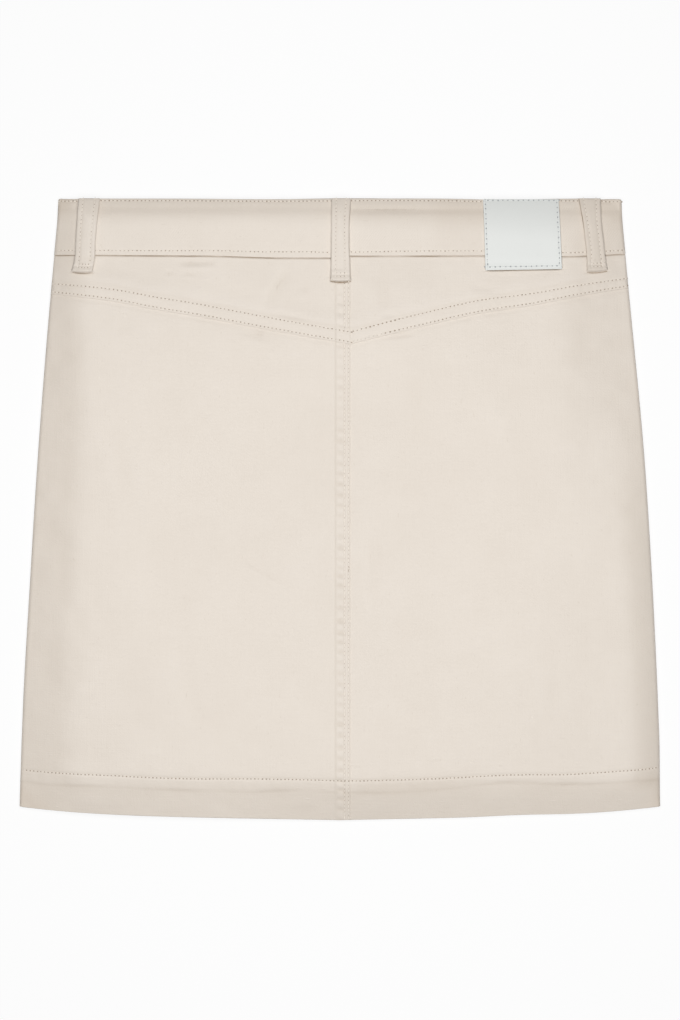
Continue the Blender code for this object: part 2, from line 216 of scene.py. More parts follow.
def cloth(
    name, x, y, base, relief, thickness, finish,
    roll=EDGE_ROLL, faces_down=False, handled=0.0, soiled=0.0,
):
    """A cut piece: a grid of points, rows by columns, with relief on its outer face and its inner
    face a thickness behind. Every edge is rounded. Its wear attribute is 1 on ridges, lighter with wear,
    and down to -2 in the deepest dips and where a painted shadow is given, darkened as painted shade
    and shadow. Its other attribute is painted shade: a little on slopes, and up to 1 at corners."""
    thickness = thickness + 0 * x
    if faces_down:
        x, y, base, relief, thickness = (part[:, ::-1] for part in (x, y, base, relief, thickness))
    face = np.stack([x, y, base], axis=-1)
    normal = np.cross(np.gradient(face, axis=1), np.gradient(face, axis=0))
    normal /= np.linalg.norm(normal, axis=-1, keepdims=True)
    from_edge = np.full(x.shape, 1.0)
    for axis in (0, 1):
        lengths = np.linalg.norm(np.diff(face, axis=axis), axis=-1)
        run = np.insert(np.cumsum(lengths, axis=axis), 0, 0.0, axis=axis)
        left = run.max(axis=axis, keepdims=True) - run
        from_edge = np.minimum(from_edge, np.minimum(run, left))
    drop = rolled(from_edge, roll)
    outer = face - normal * drop[..., None]
    outer[..., 2] += relief * ease(from_edge / roll)
    inner = face - normal * (thickness - 0.6 * drop)[..., None]
    top = np.arange(x.size).reshape(x.shape)
    under = top + x.size
    strips = [
        (top[:-1, :-1], top[:-1, 1:], top[1:, 1:], top[1:, :-1]),
        (under[:-1, :-1], under[1:, :-1], under[1:, 1:], under[:-1, 1:]),
        (under[0, :-1], under[0, 1:], top[0, 1:], top[0, :-1]),
        (under[-1, 1:], under[-1, :-1], top[-1, :-1], top[-1, 1:]),
        (under[1:, 0], under[:-1, 0], top[:-1, 0], top[1:, 0]),
        (under[:-1, -1], under[1:, -1], top[1:, -1], top[:-1, -1]),
    ]
    quads = np.concatenate([np.stack(strip, axis=-1).reshape(-1, 4) for strip in strips])
    mesh = bpy.data.meshes.new(name)
    points = np.concatenate([outer.reshape(-1, 3), inner.reshape(-1, 3)])
    mesh.from_pydata(points.tolist(), [], quads.tolist())
    mesh.shade_smooth()
    # Painted shade: steep slopes are darkened as if turned away from the light.
    steep = between(np.hypot(normal[..., 0], normal[..., 1]), 0.06, 0.26)
    handled = np.clip(SLOPE_SHADE * steep + handled, 0, 1)
    for label, tone in (("wear_and_shade", np.clip(relief / WORN_RIDGE - soiled, -2, 1)), ("handled", handled)):
        values = np.append(tone, 0 * tone).astype(np.float32)
        mesh.attributes.new(label, "FLOAT", "POINT").data.foreach_set("value", values)
    mesh.materials.append(finish)
    piece = bpy.data.objects.new(name, mesh)
    bpy.context.scene.collection.objects.link(piece)
    return piece


def unevenness(x, y, size, seed):
    """Smooth random relief from -1 to 1, with a bump or dip to about each square of this size."""
    lattice = np.random.default_rng(seed).uniform(-1, 1, (97, 97))
    u, v = x / size + 500, y / size + 500
    column, row = np.floor(u).astype(int), np.floor(v).astype(int)
    s, t = ease(u - column), ease(v - row)
    near = mix(lattice[row % 97, column % 97], lattice[row % 97, (column + 1) % 97], s)
    far = mix(lattice[(row + 1) % 97, column % 97], lattice[(row + 1) % 97, (column + 1) % 97], s)
    return mix(near, far, t)


def creased(x, y, creases):
    """Soft troughs along bent lines, each with a lower ridge beside it. A crease has its two ends, its
    width, its depth and how far its middle bends aside."""
    relief = 0 * x
    for start_x, start_y, end_x, end_y, width, depth, bend in creases:
        run_x, run_y = end_x - start_x, end_y - start_y
        length = math.hypot(run_x, run_y)
        along = ((x - start_x) * run_x + (y - start_y) * run_y) / length**2
        off = ((x - start_x) * run_y - (y - start_y) * run_x) / length
        off = off - bend * (1 - (2 * along - 1) ** 2)
        taper = ease(along / 0.4) * ease((1 - along) / 0.4)
        relief = relief - depth * taper * (bell(off, width) - 0.5 * bell(off - 1.7 * width, width))
    return relief


def add(tree, kind, inputs=None, out=0, **settings):
    """An output of a new node. Its inputs go by name or number: a value or another node's output."""
    made = tree.nodes.new(kind)
    for setting, value in settings.items():
        setattr(made, setting, value)
    for socket, value in (inputs or {}).items():
        if isinstance(value, bpy.types.NodeSocket):
            tree.links.new(value, made.inputs[socket])
        else:
            made.inputs[socket].default_value = value
    return made.outputs[out]


def maths(tree, operation, *values, **settings):
    return add(tree, "ShaderNodeMath", dict(enumerate(values)), operation=operation, **settings)


def total(tree, parts):
    """Adds up (output, weight) pairs, each output's value taken from 0.5."""
    summed = 0.0
    for part, weight in parts:
        summed = maths(tree, "MULTIPLY_ADD", maths(tree, "SUBTRACT", part, 0.5), weight, summed)
    return summed


def ramp(tree, value, low, high):
    """0 where the value is low, up to 1 where it is high."""
    return add(tree, "ShaderNodeMapRange", {0: value, 1: low, 2: high, 3: 0.0, 4: 1.0})


def blended(tree, share, first, second, way="MIX"):
    """Two colours blended. The first is a triple or another node's output, the second a triple."""
    if isinstance(first, tuple):
        first = (*first, 1.0)
    colours = {"Factor": share, "A": first, "B": (*second, 1.0)}
    return add(tree, "ShaderNodeMix", colours, "Result", data_type="RGBA", blend_type=way)


def noise(tree, place, size, stretch=(1.0, 1.0), detail=2.0):
    """Noise with blots of this size, stretched along x and y."""
    scale = (1 / (size * stretch[0]), 1 / (size * stretch[1]), 1 / size)
    spread = add(tree, "ShaderNodeMapping", {"Vector": place, "Scale": scale})
    return add(tree, "ShaderNodeTexNoise", {"Vector": spread, "Scale": 1.0, "Detail": detail})


def new_material(name):
    """A material, its node tree, its shader and the place on the object."""
    made = bpy.data.materials.new(name)
    made.use_nodes = True
    tree = made.node_tree
    return made, tree, tree.nodes["Principled BSDF"], add(tree, "ShaderNodeTexCoord", out="Object")


DENIM_DARK, DENIM_PALE = (0.618, 0.548, 0.47), (0.765, 0.703, 0.636)
# Colours that painted shade and painted crevice shadow multiply the cloth's colour by.
PAINTED_SHADE_TINT, CREVICE_SHADOW_TINT = (0.885, 0.86, 0.83), (0.5, 0.42, 0.34)
RIB_SLANT = math.radians(28)


def denim(name, turned=0.0, tone=1.0):
    """Undyed cotton twill: fine diagonal ribs, uneven yarns both ways, a few slubs and specks, and a
    soft nap, lighter with wear on ridges and darkened by painted shade and painted crevice shadow.
    turned is the way the warp runs, from +Y."""
    made, tree, shader, place = new_material(name)
    place = add(tree, "ShaderNodeMapping", {"Vector": place, "Rotation": (0, 0, turned)})
    slanted = add(tree, "ShaderNodeMapping", {"Vector": place, "Rotation": (0, 0, RIB_SLANT)})
    wave = {"Vector": slanted, "Scale": 360.0, "Distortion": 2.2, "Detail": 2.0, "Detail Scale": 1.6}
    ribs = add(tree, "ShaderNodeTexWave", wave, "Fac")
    warp = noise(tree, place, 0.0011, (1.0, 26.0))
    weft = noise(tree, place, 0.0011, (22.0, 1.0))
    grain = noise(tree, place, 0.0009, detail=3.0)
    clouds = noise(tree, place, 0.012, detail=3.0)
    drift = noise(tree, place, 0.06)
    slubs = ramp(tree, noise(tree, place, 0.0016, (3.2, 0.8), detail=1.0), 0.69, 0.78)
    specks = ramp(tree, noise(tree, place, 0.0018, (0.7, 2.4), detail=1.0), 0.71, 0.8)
    # Wear lightens ridges; painted shade darkens dips.
    wear_and_shade = add(tree, "ShaderNodeAttribute", out="Fac", attribute_name="wear_and_shade")
    yarns = [(warp, 0.11), (weft, 0.1), (grain, 0.13), (clouds, 0.07), (drift, 0.07), (ribs, 0.04)]
    share = total(tree, yarns)
    for part, weight in ((maths(tree, "MAXIMUM", wear_and_shade, -1.0), 0.1), (slubs, 0.1), (specks, -0.3)):
        share = maths(tree, "MULTIPLY_ADD", part, weight, share)
    share = maths(tree, "ADD", share, 0.5, use_clamp=True)
    dark, pale = (tuple(tone * value for value in shade) for shade in (DENIM_DARK, DENIM_PALE))
    # Painted shade, then painted shadow in the deepest crevices, multiplied into the colour.
    handled = add(tree, "ShaderNodeAttribute", out="Fac", attribute_name="handled")
    colour = blended(tree, handled, blended(tree, share, dark, pale), PAINTED_SHADE_TINT, "MULTIPLY")
    colour = blended(tree, ramp(tree, wear_and_shade, -1.1, -2.0), colour, CREVICE_SHADOW_TINT, "MULTIPLY")
    tree.links.new(colour, shader.inputs["Base Color"])
    height = total(tree, [(ribs, 0.5), (warp, 0.5), (weft, 0.5), (grain, 0.6), (slubs, 0.6)])
    bump = add(tree, "ShaderNodeBump", {"Height": height, "Strength": 0.35, "Distance": 0.0004})
    tree.links.new(bump, shader.inputs["Normal"])
    shader.inputs["Roughness"].default_value = 0.55
    shader.inputs["Specular IOR Level"].default_value = 0.5
    shader.inputs["Sheen Weight"].default_value = 0.03
    shader.inputs["Sheen Roughness"].default_value = 0.5
    return made


def flat_finish(name, colour, roughness, grain_size, contrast, metallic=0.0):
    """A plain finish with a fine grain in its colour and its surface."""
    made, tree, shader, place = new_material(name)
    grain = noise(tree, place, grain_size, detail=3.0)
    dark = tuple(value * (1 - contrast) for value in colour)
    light = tuple(min(1.0, value * (1 + contrast)) for value in colour)
    tree.links.new(blended(tree, grain, dark, light), shader.inputs["Base Color"])
    grainy = {"Height": grain, "Strength": 0.4, "Distance": grain_size / 8}
    tree.links.new(add(tree, "ShaderNodeBump", grainy), shader.inputs["Normal"])
    shader.inputs["Roughness"].default_value = roughness
    shader.inputs["Metallic"].default_value = metallic
    return made


Line = namedtuple("Line", "points ups")  # a row of sewing: places on a face and the way the face looks
PRESSED_IN = 0.00032  # the floor presses stitches into the lower face this much


def on_face(face, x, y, looks_up=True):
    """A line on a face, which is a function from x and y to height. It stays clear of the floor."""
    near = 0.0003
    height = face(x, y) if looks_up else np.maximum(face(x, y), PRESSED_IN)
    slope_x = (face(x + near, y) - face(x - near, y)) / (2 * near)
    slope_y = (face(x, y + near) - face(x, y - near)) / (2 * near)
    ups = np.stack([-slope_x, -slope_y, 1 + 0 * x], axis=-1)
    ups /= np.linalg.norm(ups, axis=-1, keepdims=True)
    return Line(np.stack([x, y, height], axis=-1), ups if looks_up else -ups)


def stitch_tree():
    """A node tree that sets one stitch, or one dark bead painted as the shadow in a needle hole, at
    every pitch along lines.
    """
    tree = bpy.data.node_groups.new("rows of stitches", "GeometryNodeTree")
    sizes = ("Pitch", "Long", "Wide", "High", "Ahead", "Sunk", "Wobble", "Vary")
    asked = {"Lines": "Geometry", **dict.fromkeys(sizes, "Float"), "Seed": "Int", "Finish": "Material"}
    for label, kind in asked.items():
        tree.interface.new_socket(label, in_out="INPUT", socket_type=f"NodeSocket{kind}")
    tree.interface.new_socket("Stitches", in_out="OUTPUT", socket_type="NodeSocketGeometry")
    given = tree.nodes.new("NodeGroupInput").outputs

    def node(kind, *inputs, **settings):
        return add(tree, kind, *inputs, **settings)

    def to_random(low, high, seed):
        return node("FunctionNodeRandomValue", {2: low, 3: high, "Seed": seed}, 1)

    curves = node("GeometryNodeMeshToCurve", {"Mesh": given["Lines"]})
    pitch = {"Curve": curves, "Length": given["Pitch"]}
    spots = node("GeometryNodeResampleCurve", pitch, mode="LENGTH")
    up = node("GeometryNodeInputNamedAttribute", {"Name": "up"}, data_type="FLOAT_VECTOR")
    tangent = node("GeometryNodeInputTangent")
    aimed = node("FunctionNodeAlignRotationToVector", {"Vector": tangent}, axis="X")
    upright = {"Rotation": aimed, "Vector": up}
    stood = node("FunctionNodeAlignRotationToVector", upright, axis="Z", pivot_axis="X")
    swing = to_random(maths(tree, "MULTIPLY", given["Wobble"], -1.0), given["Wobble"], given["Seed"])
    swing = node("FunctionNodeEulerToRotation", {0: node("ShaderNodeCombineXYZ", {"Z": swing})})
    swung = {"Rotation": stood, "Rotate By": swing}
    turned = node("FunctionNodeRotateRotation", swung, rotation_space="LOCAL")
    smallest = maths(tree, "SUBTRACT", 1.0, given["Vary"])
    largest = maths(tree, "ADD", 1.0, given["Vary"])
    size = to_random(smallest, largest, maths(tree, "ADD", given["Seed"], 1.0))
    ball = node("GeometryNodeMeshUVSphere", {"Segments": 8, "Rings": 5, "Radius": 0.5})
    down = maths(tree, "MULTIPLY", given["Sunk"], -1.0)
    moved = node("ShaderNodeCombineXYZ", {"X": given["Ahead"], "Z": down})
    shape = {"X": given["Long"], "Y": given["Wide"], "Z": given["High"]}
    shaped = {"Geometry": ball, "Translation": moved, "Scale": node("ShaderNodeCombineXYZ", shape)}
    stitch = node("GeometryNodeSetShadeSmooth", {0: node("GeometryNodeTransform", shaped)})
    sown = {"Points": spots, "Instance": stitch, "Rotation": turned, "Scale": size}
    real = node("GeometryNodeRealizeInstances", {0: node("GeometryNodeInstanceOnPoints", sown)})
    done = node("GeometryNodeSetMaterial", {"Geometry": real, "Material": given["Finish"]})
    tree.links.new(done, tree.nodes.new("NodeGroupOutput").inputs["Stitches"])
    return tree


def along(name, lines, tree, **asked):
    """A mesh made by a node tree along lines, with the tree's inputs by name."""
    mesh = bpy.data.meshes.new(name)
    starts = np.cumsum([0] + [len(line.points) for line in lines])
    edges = [(at, at + 1) for first, end in zip(starts, starts[1:]) for at in range(first, end - 1)]
    mesh.from_pydata(np.concatenate([line.points for line in lines]).tolist(), edges, [])
    ups = np.concatenate([line.ups for line in lines]).astype(np.float32)
    mesh.attributes.new("up", "FLOAT_VECTOR", "POINT").data.foreach_set("vector", ups.ravel())
    piece = bpy.data.objects.new(name, mesh)
    bpy.context.scene.collection.objects.link(piece)
    sown = piece.modifiers.new("sown", "NODES")
    sown.node_group = tree
    for item in tree.interface.items_tree:
        if item.in_out == "INPUT" and item.name in asked:
            sown[item.identifier] = asked[item.name]
    evaluated = piece.evaluated_get(bpy.context.evaluated_depsgraph_get())
    sown_mesh = bpy.data.meshes.new_from_object(evaluated)
    piece.modifiers.clear()
    piece.data = sown_mesh
    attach(piece, "root")
    return piece


rows_of_stitches = stitch_tree()
thread = flat_finish("thread", (0.77, 0.712, 0.64), 0.7, 0.0004, 0.08)
# A dark bead painted as the shadow in each needle hole.
needle_hole_shadow = flat_finish("needle_hole_shadow", (0.37, 0.3, 0.235), 0.95, 0.0004, 0.1)
THREAD_WIDE, THREAD_HIGH, THREAD_RAISED = 0.00056, 0.00046, 0.00006
HOLE_DEEP, HOLE_SUNK = 0.0005, 0.00004
WOBBLE = 0.08  # how unevenly stitches lie, and how much threads differ in size


def sew(
    name, lines, seed, pitch=STITCH_PITCH, hole=0.00098, vary=0.14, finishes=(thread, needle_hole_shadow)
):
    """Rows of lockstitch: a thread at each pitch, and between threads a dark bead painted as the shadow
    in the hole that they go into.
    """
    stitches = along(
        f"{name}_stitches", lines, rows_of_stitches, Pitch=pitch, Long=pitch - 0.6 * hole,
        Wide=THREAD_WIDE, High=THREAD_HIGH, Ahead=0.0, Sunk=-THREAD_RAISED, Wobble=WOBBLE, Vary=WOBBLE,
        Seed=seed, Finish=finishes[0],
    )
    hole_shadows = along(
        f"{name}_holes", lines, rows_of_stitches, Pitch=pitch, Long=1.1 * hole,
        Wide=hole, High=HOLE_DEEP, Ahead=pitch / 2, Sunk=HOLE_SUNK, Wobble=WOBBLE, Vary=vary,
        Seed=seed, Finish=finishes[1],
    )


def hem_plies(above_edge):
    """Thickness of a panel: two layers in the hem and one above it."""
    return PLY * (1 + between(above_edge, HEM_DEPTH + 0.0012, HEM_DEPTH))


front_denim = denim("front_denim")
FRONT_CREASES = [
    (-0.15, 0.12, -0.09, 0.03, 0.006, 0.0005, 0.006),
    (0.07, 0.09, 0.15, 0.05, 0.005, 0.0004, -0.004),
    (-0.17, -0.06, -0.1, -0.09, 0.005, 0.0004, 0.003),
    (0.1, -0.04, 0.17, -0.11, 0.007, 0.0005, 0.005),
    (-0.05, -0.1, -0.04, -0.16, 0.005, 0.0004, 0.002),
]
ROW_GROOVE, ROW_DEPTH = 0.0009, 0.00026  # the groove that a row of stitches pulls into the cloth
FRONT_HEM_ROW, FRONT_ROW_DEPTH = 0.027, 0.00025
FRONT_BUMPS = 0.00025  # height of its unevenness
FRONT_ROW_END = 0.006  # rows stop this far from the side seams
CENTRE_FRONT_ROWS = (0.0018, 0.008)  # x of the centre front seam's two rows
FLY_ROWS = (0.031, 0.0375)  # x of the fly's two rows of topstitching
FLY_FOOT = 0.048  # y where they end, at the middle
FLY_TURN = 0.033  # height of their curve


def front_relief(x, y):
    """Dips in the front's lower face, which never goes below the floor."""
    dips = FRONT_BUMPS * (1 + unevenness(x, y, 0.018, 11)) + np.abs(creased(x, y, FRONT_CREASES))
    hem = FRONT_ROW_DEPTH * bell(y - front_hem_line(x) - FRONT_HEM_ROW, ROW_GROOVE)
    return (dips + hem) * on_top(x, y)


def front_face(x, y):
    return front_height(x, y, panel_radius(y)) + front_relief(x, y)


def fly_line(out):
    """The fly's topstitching: straight down from the waistband, then curving in to the middle."""
    turn = np.linspace(0, math.pi / 2, 24)
    straight = np.linspace(under_band_line(out) - 0.002, FLY_FOOT + FLY_TURN, 50)[:-1]
    x = np.append(np.full(len(straight), out), out * np.cos(turn) + 0.0012 * np.sin(turn))
    y = np.append(straight, FLY_FOOT + FLY_TURN * (1 - np.sin(turn)))
    return on_face(front_face, x, y, looks_up=False)


front_rows = steps(rolled_edge, (0.03, 0.002), (0.32, 0.0042), (0.001, 0.0003))
front_columns = steps((0.22, 0.0042), rolled_edge)
for side, sign in (("left", -1), ("right", 1)):
    columns = half_columns(sign, sign * SEAM_GAP / 2, front_columns)
    x, y = lay(columns, front_rows, front_hem_line, under_band_line, panel_radius)
    base = front_height(x, y, panel_radius(y))
    shape = (x, y, base, front_relief(x, y), hem_plies(y - front_hem_line(x)))
    panel = cloth(f"front_{side}_cloth", *shape, front_denim, faces_down=True)
    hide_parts(f"front_panel_{side}")
    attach(panel, "root")
front_hem_x = np.linspace(-HEM_HALF + FRONT_ROW_END, HEM_HALF - FRONT_ROW_END, 400)
front_hem_y = front_hem_line(front_hem_x) + FRONT_HEM_ROW
centre_y = np.linspace(front_hem_line(0.0) + 0.002, FLY_FOOT - 0.001, 200)
centre_lines = [(0 * centre_y + place, centre_y) for place in CENTRE_FRONT_ROWS]
straight = [(front_hem_x, front_hem_y), *centre_lines]
straight = [on_face(front_face, *line, looks_up=False) for line in straight]
sew("front", [*straight, *map(fly_line, FLY_ROWS)], 21)

# ---- Fly zip ----
# A woven cotton tape lies inside the front opening, behind the seam, where it is sewn to the front
# panels. The tape is the frame's own solid.

zip_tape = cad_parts["fly_zip"]
zip_tape.data.materials.clear()
zip_tape.data.materials.append(flat_finish("zip_tape", (0.62, 0.57, 0.5), 0.85, 0.0008, 0.12))

# ---- Back panels ----
# The two lower back panels. The left one's edge is felled over the right one's down the centre back,
# which makes a raised, puckered strip with two rows of stitches. The hem is turned up and stitched
# in one row, and the sides slope down to the side folds.

CENTRE_SEAM = 0.0079  # x of the centre back seam line
FELL_WIDTH = 0.0098
FELL_SOFT = 0.0018
FELL_HEIGHT = 0.0004
LEFT_CROWNS = (0.008, 0.007)  # height of the back above the side seams, below the yoke and above
RIGHT_CROWNS = (0.0063, 0.0083)
LYING_HEIGHT = 2 * PLY + SEAM_GAP + 0.00005
# A curve is a list of marks, each the place along it and the value there.
LEFT_RUNS = [
    # Width of the slope down to the left side, from the hem to the waist.
    (-0.224, 0.0495), (-0.1, 0.0468), (0.0, 0.043), (0.064, 0.0415), (0.093, 0.0362), (0.1217, 0.0335),
    (0.1505, 0.0308), (0.19, 0.0305), (0.224, 0.0305),
]
# Share of a slope that is straight, before it eases level: below the yoke, and in it and the waistband.
LEFT_STRAIGHTS = (0.55, 0.3)
RIGHT_RUNS = [
    # The same on the right, for the upper part's slope.
    (-0.224, 0.072), (-0.06, 0.072), (0.035, 0.07), (0.093, 0.066), (0.122, 0.061), (0.15, 0.053),
    (0.19, 0.05), (0.224, 0.05),
]
RIGHT_STRAIGHTS = (0.71, 0.55)
RIGHT_RUN_BELOW, RIGHT_STRAIGHT_BELOW = 0.026, 0.05  # the lower part's slope
RIGHT_CHANGE = (-0.06, 0.1)  # y of where the lower part's slope begins to give way, and is gone
HEM_RUNS = [
    # How far in from the hem its slope reaches, from left to right.
    (-0.2308, 0.027), (-0.2041, 0.032), (-0.181, 0.0335), (-0.14, 0.0342), (-0.09, 0.0356),
    (-0.04, 0.0371), (0.0, 0.0355), (0.05, 0.037), (0.1, 0.0359), (0.16, 0.0322), (0.2, 0.0291),
    (0.2308, 0.025),
]
HEM_STRAIGHTS = [
    # Share of that slope that is straight.
    (-0.2308, 0.5), (-0.04, 0.5), (0.05, 0.34), (0.1, 0.42), (0.16, 0.5), (0.2308, 0.36),
]
HEM_OPENS = [
    # Share of the crown that is left at the hem.
    (-0.2308, 0.1), (-0.19, 0.22), (-0.14, 0.25), (-0.09, 0.19), (-0.04, 0.0), (0.2308, 0.0),
]
WAIST_RUNS = [
    # How far down from the waist edge its slope reaches, from left to right.
    (-0.2308, 0.0235), (-0.01, 0.0235), (0.02, 0.0262), (0.09, 0.0275), (0.13, 0.03), (0.175, 0.034),
    (0.2308, 0.034),
]
WAIST_STRAIGHTS = (0.1, 0.22)  # left of the middle and right of it
WAIST_OPENS = [
    # Share of the crown that is left at the waist edge.
    (-0.2308, 0.23), (-0.14, 0.24), (-0.09, 0.28), (-0.01, 0.33), (0.02, 0.3), (0.09, 0.26),
    (0.13, 0.22), (0.175, 0.1), (0.2308, 0.1),
]
CORNER_SHADE = 2.1  # how much painted shade darkens the four corners
SAG_CENTRE = (0.0, -0.03)  # where the back has settled on to the front
SAG_RUN = (0.175, 0.165)  # how far from there, across and up or down, it is free again
YOKE_EDGE_LEFT = [
    # The pointed seam between panels and yoke, from the left side to the centre back.
    (-0.208, 0.1548), (-0.16, 0.1487), (-0.13, 0.1429), (-0.108, 0.1393), (-0.05, 0.1285),
    (CENTRE_SEAM, 0.1182),
]
YOKE_EDGE_RIGHT = [
    # And on to the right side.
    (CENTRE_SEAM, 0.1182), (0.038, 0.1259), (0.06, 0.1311), (0.102, 0.1406), (0.14, 0.1464),
    (0.172, 0.1528), (0.208, 0.1591),
]


def shoulder(distance, run, straight):
    """A slope from 0 at an edge to 1 at run: straight at first, then easing level."""
    share = np.clip(distance / run, 0, 1)
    bend = 1 - straight
    eased = straight + (bend**2 - (1 - share) ** 2) / (2 * bend)
    return np.minimum(np.where(share < straight, share, eased) / (straight + bend / 2), 1)


def curve(marks, at):
    """A smooth curve through the marks, read at any place along it."""
    places, values = np.transpose(marks)
    slopes = np.gradient(values, places)
    before = np.clip(np.searchsorted(places, at) - 1, 0, len(places) - 2)
    span = places[before + 1] - places[before]
    t = (at - places[before]) / span
    start = values[before] * (1 + 2 * t) * (1 - t) ** 2 + slopes[before] * span * t * (1 - t) ** 2
    end = values[before + 1] * t**2 * (3 - 2 * t) + slopes[before + 1] * span * t**2 * (t - 1)
    return start + end


def yoke_line_left(x):
    return curve(YOKE_EDGE_LEFT, x)


def yoke_line_right(x):
    return curve(YOKE_EDGE_RIGHT, x)


def yoke_line(x):
    return np.where(x < CENTRE_SEAM, yoke_line_left(x), yoke_line_right(x))


def back_slopes(x, y):
    """How far up the back has come, from 0 to 1, going in from its sides, its hem and its waist."""
    from_left = np.maximum(half_width(y, -1) + x, 0)
    from_right = np.maximum(half_width(y, 1) - x, 0)
    left_straight = mix(*LEFT_STRAIGHTS, between(y, 0.115, 0.15))
    left_side = shoulder(from_left, curve(LEFT_RUNS, y), left_straight)
    right_below = shoulder(from_right, RIGHT_RUN_BELOW, RIGHT_STRAIGHT_BELOW)
    right_straight = mix(*RIGHT_STRAIGHTS, between(y, 0.14, 0.18))
    right_above = shoulder(from_right, curve(RIGHT_RUNS, y), right_straight)
    right_side = mix(right_below, right_above, between(y, *RIGHT_CHANGE))
    hem = shoulder(y - hem_line(x), curve(HEM_RUNS, x), curve(HEM_STRAIGHTS, x))
    waist_straight = mix(*WAIST_STRAIGHTS, between(x, -0.01, 0.02))
    waist = shoulder(WAIST_TOP - y, curve(WAIST_RUNS, x), waist_straight)
    return left_side * right_side, hem, waist


# Painted shade at the corners, where the sides slope down to meet the hem's and the waist's slopes.
def corner_shade(x, y):
    side, hem, waist = back_slopes(x, y)
    return CORNER_SHADE * (1 - side) ** 2 * (1 - hem * waist)


def back_height(x, y, radius, outset=0.0):
    """Height of the back's outer face, without its seams."""
    side, hem, waist = back_slopes(x, y)
    waist = mix(curve(WAIST_OPENS, x), 1, waist)
    side_and_waist = np.maximum(1 - ((1 - side) ** 3 + (1 - waist) ** 3) ** (1 / 3), 0)
    left_crown = mix(*LEFT_CROWNS, between(y, 0.1, 0.16))
    right_crown = mix(*RIGHT_CROWNS, between(y, *RIGHT_CHANGE))
    crown = mix(left_crown, right_crown, ease(x / (2 * WAIST_HALF) + 0.5))
    crown = crown * side_and_waist * mix(curve(HEM_OPENS, x), 1, hem)
    raised = SEAM_HEIGHT + fold_rise(x, y, radius, outset) + crown
    sag_x = between(np.abs(x - SAG_CENTRE[0]), SAG_RUN[0], 0)
    sag_y = between(np.abs(y - SAG_CENTRE[1]), SAG_RUN[1], 0)
    return mix(raised, LYING_HEIGHT, sag_x * sag_y)


def felled(x):
    """1 on the felled strip of the centre back seam and left of it down to 0."""
    return between(x - CENTRE_SEAM + FELL_WIDTH, -FELL_SOFT, 0)


UNDERLAP = 0.0015  # how far one piece's edge runs in under the one felled over it
HEM_ROWS = [
    # How far in from the hem's edge its stitches run, from left to right.
    (-0.2308, 0.0268), (-0.2142, 0.0273), (-0.171, 0.0285), (-0.114, 0.0282), (-0.056, 0.0292),
    (-0.0126, 0.0292), (0.0162, 0.0287), (0.0738, 0.0292), (0.11, 0.0298), (0.16, 0.029),
    (0.189, 0.0293), (0.2308, 0.0283),
]
HEM_FOLD = [
    # The soft line below them, where the turned-up layer pulls: how far below, from left to right.
    (-0.2308, 0.009), (-0.1566, 0.0086), (-0.099, 0.0088), (-0.0702, 0.0094), (-0.0414, 0.0083),
    (0.0162, 0.0087), (0.0738, 0.0083), (0.1026, 0.0061), (0.1314, 0.0061), (0.1602, 0.007),
    (0.189, 0.0085), (0.2308, 0.0086),
]
HEM_FOLD_ABOVE, HEM_FOLD_BELOW = 0.0038, 0.012  # how far the fold's dip reaches from its line
HEM_FOLD_DEPTHS = [
    (-0.2308, 0.00042), (-0.15, 0.00034), (-0.02, 0.00026), (0.06, 0.00022), (0.11, 0.0003),
    (0.2308, 0.0004),
]
CENTRE_ROWS = (0.0014, 0.0043)  # the centre seam's two rows, left of the seam line
CENTRE_GROOVE, CENTRE_GROOVE_DEPTH = 0.00045, 0.00046
# Puckers beside an edge or a row: how far off it, their pitch, width, depth, seed and sharpness.
CENTRE_PUCKERS = (-0.0071, 0.0076, 0.0028, 0.00044, 31, 1.7)
HEM_PUCKERS = (-0.0045, 0.0092, 0.004, 0.00012, 35, 1.0)
PUCKER_SLANT = 0.12
PUCKER_SHADE, SHADED_DIP = 0.45, 0.0003  # how much painted shade darkens a pucker's dip this deep
HEM_SHADE = (0.3, 0.45, 0.38)  # and painted shade along the hem's fold: along its line, at its right end, by the middle
HEM_SHADE_WIDTH = 0.006
SMALL_BUMPS = (0.00014, 0.00025)  # height of small unevenness, over most of the back and at its sides
BROAD_BUMPS, FINE_BUMPS = 0.00022, 0.00005
BELOW_YOKE, BELOW_YOKE_WIDTH, BELOW_YOKE_DEPTH = 0.0016, 0.0014, 0.00022  # the yoke's edge presses here
HEM_FOLD_WANDER = 0.0005
THINNED, THINNED_REACH = 0.6, 0.004  # share of a felled edge's thickness, and how far in it is whole
BACK_ROW_END = 0.004
